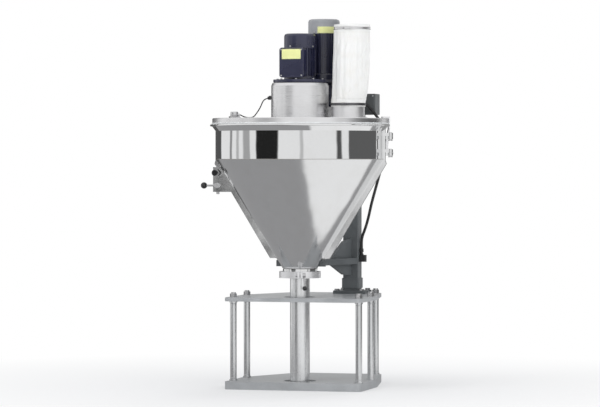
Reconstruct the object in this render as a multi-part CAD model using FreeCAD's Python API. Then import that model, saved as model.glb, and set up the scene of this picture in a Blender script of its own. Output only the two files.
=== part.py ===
"""Auger powder filler on its stand: a split conical hopper under a fixed lid, a drive drum with an
auger motor and an offset stirrer motor, an inlet sleeve, an auger in its filling tube, and the
height-adjustable column and four-post stand that carry it.

Millimetres. +Z is up and is the auger's axis. The origin is on the underside of the lower frame.
-Y is the operator's side, where the hopper door opens.
"""
import FreeCAD
import Part

import math
import os

from FreeCAD import Vector as V

# ---------------------------------------------------------------- driving dimensions
GAP = 0.5                    # clearance between pieces that pass each other
RUN = 0.05                   # radial running clearance of a shaft in its bore

# stand
STAND_PLAN = [(-270.0, -120.0), (270.0, -120.0), (270.0, 150.0), (215.0, 450.0), (-125.0, 450.0),
              (-270.0, 150.0)]
FRAME_H = 30.0               # height of the lower frame's skirt
SHEET = 6.0                  # lower frame sheet
PLATE_TOP = 353.0            # upper face of the top plate
PLATE_T = 15.0
POST_R = 12.5
POST_PLACES = [(-249.0, -62.0), (249.0, -62.0), (-249.0, 128.0), (249.0, 128.0), (-100.0, 428.0),
               (196.0, 428.0)]
TUBE_HOLE_R = 62.0
BASE_HOLE_R = 6.5
BASE_HOLE_X, BASE_HOLE_Y = 235.0, 98.0

# column and lift
COL_X, COL_Y = 114.0, 376.0
COL_POST = 52.0              # square post on the stand
COL_SLEEVE = 62.0            # square sleeve that slides on it
COL_WALL = 3.0
POST_TOP = 930.0
FOOT_T = 12.0
SLEEVE_Z0, SLEEVE_Z1 = 365.5, 1120.0
LOCK_Z0, LOCK_Z1 = 374.0, 414.0
ARM_HALF = 61.0              # half width of the arm on the lid

# hopper
BAND_R = 325.0               # outside radius of the cylindrical band
SHELL_T = 3.0
LIP_R = 342.0                # centre of the rolled bead on the rim
BEAD_R = 4.5
RIM_Z = 1014.0               # centre of the bead
FLARE_Z = 992.0
JUNCTION_Z = 884.0           # band meets cone
NECK_R = 66.0
NECK_Z = 462.0
SEAL_T = 3.0                 # seal in the split plane
FLANGE_T = 4.0
BAND_FLANGE, CONE_FLANGE = 13.0, 24.0

# lid
LID_Z0, LID_Z1 = 1023.0, 1041.0
LID_R = 338.0
LID_PLATE = 8.0

# drive
DRUM_R = 111.0
CASE_Z1 = 1085.0             # top of the gear case
DRUM_Z1 = 1180.0
MOTOR_Z0 = 1190.0            # top of the motor plate
MOTOR_R = 61.0
AUGER_MOTOR_Z1 = 1367.0
STIRRER_MOTOR_Z1 = 1426.0
MODULE = 5.0
WHEEL_TEETH, PINION_TEETH = 32, 19
STIRRER_ANGLE = 58.0
STIRRER_OFFSET = MODULE * (WHEEL_TEETH + PINION_TEETH) / 2
STIRRER_X = STIRRER_OFFSET * math.cos(math.radians(STIRRER_ANGLE))
STIRRER_Y = STIRRER_OFFSET * math.sin(math.radians(STIRRER_ANGLE))
GEAR_Z0, GEAR_T = 1056.0, 18.0

# auger, agitator and filling tube
SHAFT_R = 14.0
HOLLOW_R = 24.0              # outside of the agitator's hollow shaft
AUGER_R = 34.0
AUGER_PITCH = 60.0
FLIGHT_T = 4.0
AUGER_Z0, AUGER_Z1 = 32.0, 560.0
TUBE_R, TUBE_T = 38.0, 2.5
TUBE_Z0 = 22.0
NOZZLE_SEAT_R, NOZZLE_SEAT_H = 37.4, 40.0  # turned lower end that takes a nozzle
CLAMP_Z = 440.0              # joint face between hopper neck and filling tube
CLAMP_FLANGE_R, CLAMP_FLANGE_T = 72.0, 7.0
CLAMP_R = 80.0

# inlet
INLET_X = 192.0
SPIGOT_R = 63.0
SPIGOT_T = 2.5
SPIGOT_Z1 = 1110.0
CLOTH_R, CLOTH_T = 66.5, 2.0
CLOTH_TOP_R, CLOTH_LEAN = 70.0, 15.0
CLOTH_Z0, CLOTH_Z1 = 1085.0, 1400.0
STRAP_Z, TOP_STRAP_Z = 1094.0, 1385.0

# door hinge and latches
HINGE_X = 358.0
HINGE_PIN_R = 5.0
LATCH_X = -332.0
LATCH_EDGE_X = -312.0        # outer edge of the rear lug that the latch tongues grip
LEVER_Z, KNOB_Z = 782.0, 831.0

UP = V(0, 0, 1)


# ---------------------------------------------------------------- helpers
def box(x0, x1, y0, y1, z0, z1):
    """Box between two corners."""
    return Part.makeBox(x1 - x0, y1 - y0, z1 - z0, V(x0, y0, z0))


def centred_box(x, y, width, depth, z0, z1):
    """Box centred on a vertical line."""
    return box(x - width / 2, x + width / 2, y - depth / 2, y + depth / 2, z0, z1)


def rod(radius, z0, z1, x=0.0, y=0.0):
    """Vertical cylinder."""
    return Part.makeCylinder(radius, z1 - z0, V(x, y, z0))


def pin(radius, start, end):
    """Cylinder between two points."""
    return Part.makeCylinder(radius, (end - start).Length, start, end - start)


def ring(outer, inner, z0, z1, x=0.0, y=0.0):
    """Vertical tube or washer."""
    return rod(outer, z0, z1, x, y).cut(rod(inner, z0 - 1, z1 + 1, x, y))


def revolve(points, start=0.0, sweep=360.0):
    """Solid of a closed (radius, height) outline turned about the Z axis."""
    wire = Part.makePolygon([V(r, 0, z) for r, z in points + points[:1]])
    solid = Part.Face(wire).revolve(V(), UP, sweep)
    return turned(solid, start)


def prism(points, z0, z1):
    """Upright prism over a closed XY outline."""
    wire = Part.makePolygon([V(x, y, z0) for x, y in points + points[:1]])
    return Part.Face(wire).extrude(V(0, 0, z1 - z0))


def side_plate(points, y0, y1):
    """Plate over a closed XZ outline, between two Y planes."""
    wire = Part.makePolygon([V(x, y0, z) for x, z in points + points[:1]])
    return Part.Face(wire).extrude(V(0, y1 - y0, 0))


def turned(shape, degrees, x=0.0, y=0.0):
    """Copy turned about a vertical line."""
    made = shape.copy()
    made.rotate(V(x, y, 0), UP, degrees)
    return made


def moved(shape, x=0.0, y=0.0, z=0.0):
    """Copy shifted by x, y, z."""
    made = shape.copy()
    made.translate(V(x, y, z))
    return made


def fused(*shapes):
    """One solid from touching shapes, with the split faces merged."""
    return shapes[0].fuse(list(shapes[1:])).removeSplitter()


def group(shapes):
    """Separate solids that share one node."""
    return Part.makeCompound(list(shapes))


def polar(radius, degrees, z=0.0):
    """Point at a radius and angle from the auger's axis."""
    a = math.radians(degrees)
    return V(radius * math.cos(a), radius * math.sin(a), z)


def hex_prism(flats, z0, z1, x=0.0, y=0.0):
    """Hexagonal nut or bolt head on a vertical line."""
    corner = flats / math.sqrt(3)
    ends = [(x + corner * math.cos(math.radians(60 * i)), y + corner * math.sin(math.radians(60 * i)))
            for i in range(6)]
    return prism(ends, z0, z1)


def bolt_up(x, y, z, thread, head, length):
    """Hexagon bolt whose head sits on the face at height z, shank downwards."""
    return fused(hex_prism(head, z, z + head * 0.4, x, y), rod(thread, z - length, z + 1, x, y))


def rounded_rectangle(width, depth, radius, z0, z1, x=0.0, y=0.0):
    """Upright block with rounded vertical edges."""
    block = centred_box(x, y, width, depth, z0, z1)
    upright = [e for e in block.Edges if abs(e.tangentAt(e.FirstParameter).z) > 0.9]
    return block.makeFillet(radius, upright)


def route(points, radius):
    """Round tube along straight runs joined by tangent arcs, as large as each pair of runs allows."""
    edges = []
    here = points[0]
    radii = []
    for before, corner, after in zip(points, points[1:], points[2:]):
        into = (corner - before).normalize()
        out = (after - corner).normalize()
        half = into.getAngle(out) / 2
        cut = 0.45 * min((corner - before).Length, (after - corner).Length)
        radii.append(cut / math.tan(half))
        start = corner - into * cut
        end = corner + out * cut
        inward = (out - into).normalize()
        middle = corner + inward * (radii[-1] / math.cos(half) - radii[-1])
        edges.append(Part.makeLine(here, start))
        edges.append(Part.Arc(start, middle, end).toShape())
        here = end
    edges.append(Part.makeLine(here, points[-1]))
    path = Part.Wire(edges)
    section = Part.Wire(Part.makeCircle(radius, points[0], points[1] - points[0]))
    tube = path.makePipeShell([section], True, True)
    expected = math.pi * radius ** 2 * path.Length
    print(f"route length {path.Length:.0f}, volume {tube.Volume / expected:.3f} of section x length,"
          f" radii {[round(r) for r in radii]}")
    return tube


def cone_radius(z, offset=0.0):
    """Outside radius of the hopper cone at a height, with an offset square to the wall."""
    slope = (BAND_R - NECK_R) / (JUNCTION_Z - NECK_Z)
    return NECK_R + (z - NECK_Z) * slope + offset * math.hypot(1, slope)


# ---------------------------------------------------------------- stand
def stand_block(z0, z1, corner):
    """Upright block over the stand's plan, with rounded corners."""
    block = prism(STAND_PLAN, z0, z1)
    return block.makeFillet(corner, [e for e in block.Edges if abs(e.tangentAt(0).z) > 0.9])


def lower_frame():
    """Folded sheet frame with a downward skirt, the tube hole and the bolt holes."""
    body = stand_block(0, FRAME_H, 16)
    inner = Part.Face(Part.makePolygon([V(x, y, -1) for x, y in STAND_PLAN + STAND_PLAN[:1]]))
    inner = inner.makeOffset2D(-SHEET, 0).extrude(V(0, 0, FRAME_H - SHEET + 1))
    inner = inner.makeFillet(9, [e for e in inner.Edges if abs(e.tangentAt(0).z) > 0.9])
    body = body.cut(inner).cut(rod(TUBE_HOLE_R, 0, FRAME_H + 1))
    pads = [rod(14, 0, FRAME_H - SHEET + 1, x, y) for x, y in base_holes()]
    body = fused(body, *pads)
    return body.cut([rod(BASE_HOLE_R, -1, FRAME_H + 1, x, y) for x, y in base_holes()]
                    + [rod(8.2, -1, FRAME_H + 1, x, y) for x, y in POST_PLACES])


def base_holes():
    """Where the lower frame is bolted down."""
    return [(x, y) for x in (-BASE_HOLE_X, BASE_HOLE_X) for y in (-BASE_HOLE_Y, BASE_HOLE_Y)]


def stand_post(x, y):
    """Turned post with a threaded end through each plate."""
    body = rod(POST_R, FRAME_H, PLATE_TOP - PLATE_T, x, y)
    collars = [rod(POST_R + 3, FRAME_H, FRAME_H + 6, x, y),
               rod(POST_R + 3, PLATE_TOP - PLATE_T - 6, PLATE_TOP - PLATE_T, x, y)]
    ends = rod(8, FRAME_H - SHEET - 14, PLATE_TOP + 12, x, y)
    return fused(body, ends, *collars)


def post_nuts():
    """Domed nuts above and plain nuts below each post."""
    nuts = []
    for x, y in POST_PLACES:
        hexagon = hex_prism(24, PLATE_TOP, PLATE_TOP + 13, x, y)
        dome = rod(9.5, PLATE_TOP + 13, PLATE_TOP + 18, x, y)
        under = hex_prism(24, FRAME_H - SHEET - 12, FRAME_H - SHEET, x, y)
        bore = rod(8, 0, PLATE_TOP + 12, x, y)
        nuts += [fused(hexagon, dome).cut(bore), under.cut(bore)]
    return group(nuts)


def top_plate():
    """Plate that carries the column; the filling tube passes through it."""
    plate = stand_block(PLATE_TOP - PLATE_T, PLATE_TOP, 16)
    plate = plate.makeChamfer(1.5, [e for e in plate.Edges if abs(e.CenterOfMass.z - PLATE_TOP) < 0.1])
    holes = [rod(TUBE_HOLE_R, 0, PLATE_TOP + 1)]
    holes += [rod(8.2, 0, PLATE_TOP + 1, x, y) for x, y in POST_PLACES]
    holes += [rod(6.2, 0, PLATE_TOP + 1, x, y) for x, y in foot_bolt_places()]
    return plate.cut(holes)


# ---------------------------------------------------------------- column
def foot_bolt_places():
    """Bolt centres of the column foot."""
    return [(COL_X + i * 50, COL_Y + j * 50) for i in (-1, 1) for j in (-1, 1)]


def foot_bolts():
    """Bolts from the foot into the top plate."""
    return group([bolt_up(x, y, PLATE_TOP + FOOT_T, 6, 18, 26) for x, y in foot_bolt_places()])


def square_tube(size, wall, z0, z1):
    """Square hollow section on the column's line."""
    outer = rounded_rectangle(size, size, wall * 1.5, z0, z1, COL_X, COL_Y)
    return outer.cut(centred_box(COL_X, COL_Y, size - 2 * wall, size - 2 * wall, z0 - 1, z1 + 1))


def column_post():
    """Inner post welded on its foot flange, closed by a cap plate."""
    flange = rounded_rectangle(130, 130, 10, PLATE_TOP, PLATE_TOP + FOOT_T, COL_X, COL_Y)
    flange = flange.cut([rod(6.2, 0, 400, x, y) for x, y in foot_bolt_places()])
    tube = square_tube(COL_POST, COL_WALL, PLATE_TOP + FOOT_T, POST_TOP)
    cap = centred_box(COL_X, COL_Y, COL_POST - 2, COL_POST - 2, POST_TOP - 5, POST_TOP)
    return fused(flange, tube, cap)


def lift_sleeve():
    """Outer sleeve that slides on the post, with a thickened collar for the lock bolts."""
    tube = square_tube(COL_SLEEVE, COL_WALL, SLEEVE_Z0, SLEEVE_Z1)
    inner = COL_SLEEVE - 2 * COL_WALL
    collar = rounded_rectangle(COL_SLEEVE + 8, COL_SLEEVE + 8, 6, LOCK_Z0, LOCK_Z1, COL_X, COL_Y)
    collar = collar.cut(centred_box(COL_X, COL_Y, inner, inner, LOCK_Z0 - 1, LOCK_Z1 + 1))
    cap = centred_box(COL_X, COL_Y, inner + 2, inner + 2, SLEEVE_Z1 - 5, SLEEVE_Z1)
    body = fused(tube, collar, cap)
    return body.cut([pin(5, V(COL_X, COL_Y, z), V(COL_X, COL_Y + 80, z)) for z in lock_heights()])


def lock_heights():
    """Heights of the two lock bolts."""
    return (LOCK_Z0 + 10, LOCK_Z1 - 10)


def lock_bolts():
    """Bolts in the rear of the collar that press on the post."""
    bolts = []
    face = COL_Y + COL_SLEEVE / 2 + 4
    for z in lock_heights():
        shank = pin(5, V(COL_X, COL_Y + COL_POST / 2 + GAP, z), V(COL_X, face + 1, z))
        head = hex_prism(16, 0, 8)
        head.rotate(V(), V(1, 0, 0), -90)
        bolts.append(fused(shank, moved(head, COL_X, face, z)))
    return bolts


def guide_pads():
    """Plastic pads between post and sleeve, on all four sides at two heights."""
    inner = COL_SLEEVE / 2 - COL_WALL
    pads = []
    for z0, z1 in ((LOCK_Z1 + 4, LOCK_Z1 + 64), (POST_TOP - 120, POST_TOP - 60)):
        pad = box(COL_POST / 2 + 0.2, inner, -18, 18, z0, z1)
        pads += [turned(moved(pad, COL_X, COL_Y), 90 * i, COL_X, COL_Y) for i in range(4)]
    return group(pads)


def head_arm():
    """Arm from the top of the sleeve down onto the lid: back plate, foot, ribs and a top plate."""
    z0 = LID_Z1
    face = COL_Y - COL_SLEEVE / 2
    x0, x1 = COL_X - ARM_HALF, COL_X + ARM_HALF
    top = SLEEVE_Z1 + 20
    back = box(x0, x1, face - 12, face, z0, top)
    foot = box(x0, x1, 206, face - 2, z0, z0 + 12)
    rib = side_plate([(0, z0 + 10), (0, SLEEVE_Z1 + 14), (-20, SLEEVE_Z1 + 14), (-96, z0 + 16),
                      (-96, z0 + 10)], -4, 4)
    rib.rotate(V(), UP, 90)
    ribs = [moved(rib, COL_X + x, face - 2) for x in (4 - ARM_HALF, 0, ARM_HALF - 4)]
    cover = box(x0, x1, face - 30, COL_Y + COL_SLEEVE / 2 + 4, SLEEVE_Z1, top)
    body = fused(back, foot, cover, *ribs)
    return body.cut([rod(5.2, z0 - 5, z0 + 20, x, y) for x, y in arm_bolt_places()])


def arm_bolt_places():
    """Bolts through the arm's foot into the lid."""
    return [(COL_X + x, y) for x in (-42, -14, 14, 42) for y in (222, 294)]


def head_bolts():
    """Hexagon bolts of the arm on the lid, and the lock bolts of the sleeve."""
    arm = [bolt_up(x, y, LID_Z1 + 12, 5, 16, 18.5) for x, y in arm_bolt_places()]
    return group(arm + lock_bolts())


ARM_Z0, ARM_Z1 = 470.0, 494.0


def arm_direction():
    """Unit vector from the hopper's axis to the front face of the sleeve."""
    return V(COL_X, COL_Y - COL_SLEEVE / 2, 0).normalize()


def ring_arm():
    """Lower arm from the sleeve to the hopper neck: bar, deep web at the column and half collar."""
    start = V(COL_X, COL_Y - COL_SLEEVE / 2, 0)
    along = arm_direction()
    side = V(-along.y, along.x, 0)
    near = along * (cone_radius(ARM_Z0) - 4)
    outline = [start + V(-28, 0, 0), near + side * 20, near - side * 20, start + V(28, 0, 0)]
    bar = prism([(p.x, p.y) for p in outline], ARM_Z0, ARM_Z1)
    reach = start.Length
    web = side_plate([(reach + 1, 424), (reach + 1, 572), (reach - 60, 560), (210, ARM_Z1 - 2),
                      (210, ARM_Z0 + 2), (reach - 60, 430)], -5, 5)
    web = turned(web, math.degrees(math.atan2(along.y, along.x)))
    web = web.cut(box(-400, 400, start.y, 600, 400, 600))
    collar = rod(cone_radius(ARM_Z1) + 14, ARM_Z0, ARM_Z1).cut(box(-200, 200, -200, 14, ARM_Z0 - 1, ARM_Z1 + 1))
    cone = Part.makeCone(cone_radius(ARM_Z0 - 10), cone_radius(ARM_Z1 + 10), ARM_Z1 - ARM_Z0 + 20,
                         V(0, 0, ARM_Z0 - 10))
    return fused(bar, web, collar).cut(cone)


def neck_bracket():
    """Bright clevis plate on the arm beside the neck, with its bolt."""
    z0, z1 = ARM_Z1, ARM_Z1 + 12
    plate = box(118, 158, -3, 3, z0, z1 + 6)
    base = box(118, 158, -12, 12, z0, z0 + 4)
    top = box(124, 152, -3, 3, z1, z1 + 22)
    bolt = pin(7, V(138, 3, z1 + 10), V(138, 9, z1 + 10))
    along = arm_direction()
    angle = math.degrees(math.atan2(along.y, along.x))
    return group([turned(fused(plate, base, top), angle), turned(bolt, angle)])


# ---------------------------------------------------------------- hopper
def hopper_outline(bottom, top):
    """Closed (radius, height) outline of the hopper wall, flared at the rim."""
    t = SHELL_T
    slant = t * math.hypot(1, (BAND_R - NECK_R) / (JUNCTION_Z - NECK_Z))
    foot = cone_radius(bottom)
    return [(foot, bottom), (BAND_R, JUNCTION_Z), (BAND_R, FLARE_Z), (LIP_R, RIM_Z), (LIP_R, top),
            (LIP_R - t - 3, top), (BAND_R - t, FLARE_Z + 2), (BAND_R - t, JUNCTION_Z - 1),
            (foot - slant, bottom)]


def flange_outline(side, bottom, band=BAND_FLANGE, cone=CONE_FLANGE, inset=1.0):
    """XZ outline of the flange along the split, on the +X or -X side."""
    low = [(cone_radius(bottom, cone), bottom), (cone_radius(bottom, -inset), bottom)]
    bend = JUNCTION_Z - 4
    up = [(BAND_R - inset, JUNCTION_Z), (BAND_R - inset, FLARE_Z - 2)]
    out = [(BAND_R + band, FLARE_Z + 6), (BAND_R + band, bend), (cone_radius(bend - 14, cone), bend - 14)]
    return [(side * x, z) for x, z in low + up + out]


def half_shell(start, bottom, top):
    """Half of the hopper wall with its rolled rim bead, before the split clearance is taken off."""
    wall = revolve(hopper_outline(bottom, top), start, 180)
    bead = turned(Part.makeTorus(LIP_R, BEAD_R, V(0, 0, RIM_Z), UP, 0, 360, 180), start)
    bead = bead.common(rod(LIP_R + 20, RIM_Z - 20, top))
    return fused(wall, bead)


def rear_shell():
    """Fixed rear half: wall, split flanges, latch lug, hinge lugs and the full neck ring."""
    y = SEAL_T / 2
    shell = half_shell(0, NECK_Z - 4, LID_Z0 - 4)
    shell = shell.cut(box(-400, 400, -1, y, 400, 1100))
    flanges = [side_plate(flange_outline(s, NECK_Z + 40), y, y + FLANGE_T) for s in (-1, 1)]
    lug = side_plate([(LATCH_EDGE_X, 757), (LATCH_EDGE_X, 853), (-290, 853), (-250, 757)], y, y + FLANGE_T)
    neck = revolve([(NECK_R - 6, CLAMP_Z), (CLAMP_FLANGE_R, CLAMP_Z), (CLAMP_FLANGE_R - 1, CLAMP_Z + 7),
                    (NECK_R, CLAMP_Z + 7), (NECK_R, NECK_Z), (NECK_R - 6, NECK_Z)])
    bore = rod(NECK_R - 6, CLAMP_Z - 1, NECK_Z + 2)
    knuckles = [hinge_lug(z, 1) for z in hinge_heights()]
    return fused(shell, *flanges, lug, neck, *knuckles).cut(bore)


def hinge_heights():
    """Bottom of each hinge, upper and lower."""
    return (897.0, 960.0)


def hinge_lug(z0, side):
    """Knuckle and strap of a hinge: side 1 is the fixed lower knuckle, -1 the door's upper one."""
    height = 12.0
    z = z0 if side > 0 else z0 + height + GAP
    barrel = rod(10, z, z + height, HINGE_X)
    y0, y1 = sorted((side * 2.0, side * 9.0))
    strap = box(BAND_R - 2, HINGE_X, y0, y1, z, z + height)
    hole = HINGE_PIN_R if side > 0 else HINGE_PIN_R + RUN
    return fused(barrel, strap).cut(rod(hole, z - 1, z + height + 1, HINGE_X))


def hinge_pins():
    """Headed pins fixed in the lower knuckles."""
    pins = []
    for z0 in hinge_heights():
        shank = rod(HINGE_PIN_R, z0 - 2, z0 + 26 + GAP, HINGE_X)
        head = rod(8, z0 - 6, z0 - 1, HINGE_X)
        pins.append(fused(shank, head))
    return group(pins)


def front_shell():
    """Hopper door: the front half of the wall with flanges, lug and hinge knuckles."""
    y = SEAL_T / 2
    bottom = NECK_Z + 2
    shell = half_shell(180, bottom, LID_Z0 - 4 - GAP)
    shell = shell.cut(box(-400, 400, -y, 1, 400, 1100))
    flanges = [side_plate(flange_outline(s, NECK_Z + 40), -y - FLANGE_T, -y) for s in (-1, 1)]
    lug = side_plate([(LATCH_X - 16, 757), (LATCH_X - 16, 853), (-290, 853), (-250, 757)],
                     -y - FLANGE_T, -y)
    knuckles = [hinge_lug(z, -1) for z in hinge_heights()]
    body = fused(shell, *flanges, lug, *knuckles)
    return body.cut([pin(5 + RUN, V(LATCH_X, -20, z), V(LATCH_X, 0, z)) for z in (LEVER_Z, KNOB_Z)])


def door_seal():
    """Silicone strip on the rear flanges, between the two halves."""
    y = SEAL_T / 2 - GAP / 2
    strips = [side_plate(flange_outline(s, NECK_Z + 42, BAND_FLANGE - 2, CONE_FLANGE - 3, SHELL_T),
                         -y, SEAL_T / 2) for s in (-1, 1)]
    return group(strips)


# ---------------------------------------------------------------- door latches
def latch(z, lever):
    """Quarter-turn latch: spindle, tongue behind the lugs, and a ball lever or a round knob."""
    front = -SEAL_T / 2 - FLANGE_T
    behind = SEAL_T / 2 + FLANGE_T + GAP
    spindle = pin(5, V(LATCH_X, front - 16, z), V(LATCH_X, behind + 6, z))
    hub = pin(9, V(LATCH_X, front - 14, z), V(LATCH_X, front - GAP, z))
    tongue = box(LATCH_X - 6, LATCH_X + 6, behind, behind + 5, z - 34, z + 6)
    if not lever:
        grip = pin(12.5, V(LATCH_X, front - 34, z), V(LATCH_X, front - 12, z))
        grip = grip.makeFillet(3, [e for e in grip.Edges if abs(e.CenterOfMass.y - (front - 34)) < 0.1])
        spindle = fused(spindle, hub, tongue)
        return spindle, grip.cut(spindle)
    y = front - 8
    arm = pin(4, V(LATCH_X, y, z), V(LATCH_X - 44, y, z))
    ball = Part.makeSphere(12.5, V(LATCH_X - 50, y, z))
    spindle = fused(spindle, hub, tongue, arm)
    return spindle, ball.cut(spindle)


# ---------------------------------------------------------------- lid
def lid():
    """Round lid: plate with a turned-down skirt, the inlet hole, shaft hole and sensor hole."""
    plate = revolve([(0, LID_Z1 - LID_PLATE), (LID_R - 4, LID_Z1 - LID_PLATE), (LID_R - 4, LID_Z0),
                     (LID_R, LID_Z0), (LID_R, LID_Z1 - 2), (LID_R - 2, LID_Z1), (0, LID_Z1)])
    holes = [rod(SPIGOT_R, 1000, 1100, INLET_X), rod(44, 1000, 1100)]
    holes += [rod(15, 1000, 1100, SENSOR.x, SENSOR.y)]
    holes += [rod(5, LID_Z1 - 6.9, 1100, x, y) for x, y in arm_bolt_places()]
    return plate.cut(holes)


def lid_gasket():
    """Flat ring between the lid's skirt and the hopper rim."""
    return ring(LID_R + 2, LID_R - 8, LID_Z0 - 4, LID_Z0)


LATCH_ANGLES = (28.0, 152.0)


def lid_latch_base():
    """Pivot bracket on the band, drawn at angle 0."""
    plate = box(BAND_R - 1.5, BAND_R + 5, -16, 16, 905, 950)
    ears = [box(BAND_R + 4, BAND_R + 20, s * 12 - 2, s * 12 + 2, 918, 938) for s in (-1, 1)]
    body = fused(plate, *ears)
    wall = rod(BAND_R, 900, 960)
    body = body.cut(wall)
    return body.cut(pin(3, V(BAND_R + 13, -30, 928), V(BAND_R + 13, 30, 928)))


def lid_latch_lever():
    """Spring hook that reaches over the lid's edge, drawn at angle 0."""
    x = BAND_R + 13
    outline = [(x - 4, 922), (x + 6, 919), (x + 30, 903), (x + 33, 908), (x + 10, 928), (x + 18, 1000),
               (x + 18, 1049), (LID_R - 12, 1049), (LID_R - 12, LID_Z1 + GAP), (x + 13, LID_Z1 + GAP),
               (x + 13, 1000), (x - 1, 940)]
    hook = side_plate(outline, -9, 9)
    pivot = pin(3 - RUN, V(x, -15, 928), V(x, 15, 928))
    return fused(hook, pivot)


# ---------------------------------------------------------------- drive
def case_outline(grow=0.0):
    """Gear case plan: the drum's circle joined by tangents to the stirrer's circle."""
    return stadium(DRUM_R + grow, 66.0 + grow)


def stadium(r1, r2):
    """Wire round two circles, the auger's and the stirrer's, with their outer tangents."""
    lean = math.degrees(math.acos((r1 - r2) / STIRRER_OFFSET))
    a, b = STIRRER_ANGLE + lean, STIRRER_ANGLE - lean
    centre = V(STIRRER_X, STIRRER_Y, 0)
    p1, p2 = polar(r1, a), centre + polar(r2, a)
    q1, q2 = polar(r1, b), centre + polar(r2, b)
    far = centre + polar(r2, STIRRER_ANGLE)
    back = polar(r1, STIRRER_ANGLE + 180)
    edges = [Part.makeLine(p1, p2), Part.Arc(p2, far, q2).toShape(), Part.makeLine(q2, q1),
             Part.Arc(q1, back, p1).toShape()]
    return Part.Wire(edges)


def stadium_prism(grow, z0, z1):
    """Prism over the gear case plan."""
    face = Part.Face(case_outline(grow))
    face.translate(V(0, 0, z0))
    return face.extrude(V(0, 0, z1 - z0))


def gear_case():
    """Low cover over the gear pair: walls and roof, with holes for drum and pinion shaft."""
    body = stadium_prism(0, LID_Z1, CASE_Z1).cut(stadium_prism(-4, LID_Z1 - 1, CASE_Z1 - 6))
    return body.cut([rod(HOLLOW_R + 2, 1000, 1100), rod(20, 1000, 1100, STIRRER_X, STIRRER_Y)])


def drive_drum():
    """Stainless drum over the coupling, with a turned-in shoulder under the motor plate."""
    body = revolve([(DRUM_R, CASE_Z1), (DRUM_R, DRUM_Z1 - 14), (DRUM_R - 4, DRUM_Z1 - 4),
                    (DRUM_R - 12, DRUM_Z1), (40, DRUM_Z1), (40, DRUM_Z1 - 6), (DRUM_R - 14, DRUM_Z1 - 6),
                    (DRUM_R - 4, DRUM_Z1 - 16), (DRUM_R - 4, CASE_Z1)])
    return body.cut(lead_entry(6, -30, 14))


def motor_plate():
    """Black adapter plate under both motors."""
    face = Part.Face(stadium(DRUM_R - 8, 64.0))
    face.translate(V(0, 0, DRUM_Z1))
    plate = face.extrude(V(0, 0, MOTOR_Z0 - DRUM_Z1))
    return plate.cut([rod(30, 1100, 1300), rod(34, 1100, 1300, STIRRER_X, STIRRER_Y)])


def finned_barrel(z0, z1, x, y, fins=30):
    """Motor barrel with straight cooling fins all round."""
    core, tip, half = MOTOR_R - 7, MOTOR_R - 1, 1.9
    points = []
    for i in range(fins):
        a = 360.0 * i / fins
        root = math.degrees(half / core)
        edge = math.degrees(half * 0.8 / tip)
        for radius, angle in ((core, a - root), (tip, a - edge), (tip, a + edge), (core, a + root)):
            p = polar(radius, angle)
            points.append((x + p.x, y + p.y))
    return prism(points, z0, z1)


def motor_body(x, y, z0, z1, drive_end):
    """Finned barrel between two end shields, with a bore for the shaft."""
    foot = rod(MOTOR_R, z0, z0 + drive_end, x, y)
    shoulder = Part.makeCone(MOTOR_R, MOTOR_R - 5, 6, V(x, y, z0 + drive_end))
    barrel = finned_barrel(z0 + drive_end + 6, z1, x, y)
    collar = rod(MOTOR_R - 6, z0 + drive_end, z1 + 4, x, y)
    body = fused(foot, shoulder, barrel, collar)
    return body.cut(rod(9 + RUN, z0 - 1, z0 + 40, x, y))


def fan_cover(x, y, z0, z1):
    """Pressed fan cover with a rounded shoulder and two rings of air slots in its roof."""
    r = MOTOR_R
    outline = [(r, 0), (r, z1 - z0 - 10), (r - 3, z1 - z0 - 3), (r - 10, z1 - z0), (0, z1 - z0),
               (0, z1 - z0 - 2), (r - 10, z1 - z0 - 2), (r - 5, z1 - z0 - 5), (r - 2, z1 - z0 - 10),
               (r - 2, 0)]
    cover = moved(revolve(outline), x, y, z0)
    slots = []
    for count, inner, outer in ((8, 14, 27), (12, 33, 46)):
        for i in range(count):
            slot = box(inner, outer, -2.5, 2.5, z1 - 4, z1 + 1)
            slots.append(moved(turned(slot, 360.0 * i / count), x, y))
    return cover.cut(slots)


def terminal_box(x, y, direction, z0, z1, reach):
    """Terminal box on a motor: foot, body, raised cover and corner screws, facing one way."""
    width = 98.0
    inner = MOTOR_R - 8
    body = box(inner, MOTOR_R + reach - 6, -width / 2 + 4, width / 2 - 4, z0 + 4, z1 - 4)
    body = body.makeFillet(8, [e for e in body.Edges if abs(e.tangentAt(0).x) > 0.9])
    cover = box(MOTOR_R + reach - 8, MOTOR_R + reach, -width / 2, width / 2, z0, z1)
    cover = cover.makeFillet(10, [e for e in cover.Edges if abs(e.tangentAt(0).x) > 0.9])
    front = [e for e in cover.Edges if abs(e.CenterOfMass.x - MOTOR_R - reach) < 0.1]
    cover = cover.makeFillet(2.5, front)
    made = moved(turned(fused(body, cover), direction), x, y)
    return made.cut(rod(MOTOR_R - 0.5, z0 - 20, z1 + 20, x, y))


AUGER_BOX_ANGLE, AUGER_BOX_Z0, AUGER_BOX_Z1 = -94.0, 1196.0, 1311.0
STIRRER_BOX_ANGLE, STIRRER_BOX_Z0, STIRRER_BOX_Z1 = 12.0, 1232.0, 1336.0
BOX_REACH = 42.0
VIEW_SIDE = -66.0            # side of the stirrer motor that carries its plate
VIEW_PLATE_Z = (-55.0, -30.0)  # heights of that plate from the motor's top
COVER_H = 56.0


def stirrer_reducer():
    """Round in-line reducer between the gear case and the stirrer motor."""
    x, y = STIRRER_X, STIRRER_Y
    profile = [(0, CASE_Z1), (62, CASE_Z1), (62, CASE_Z1 + 10), (46, CASE_Z1 + 14),
               (46, DRUM_Z1 - 14), (33, DRUM_Z1), (33, MOTOR_Z0), (0, MOTOR_Z0)]
    body = moved(revolve(profile), x, y)
    drum_side = rod(DRUM_R + GAP, CASE_Z1 - 1, DRUM_Z1)
    return body.cut([drum_side, rod(10 + RUN, CASE_Z1 - 1, MOTOR_Z0 + 1, x, y)])


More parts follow.
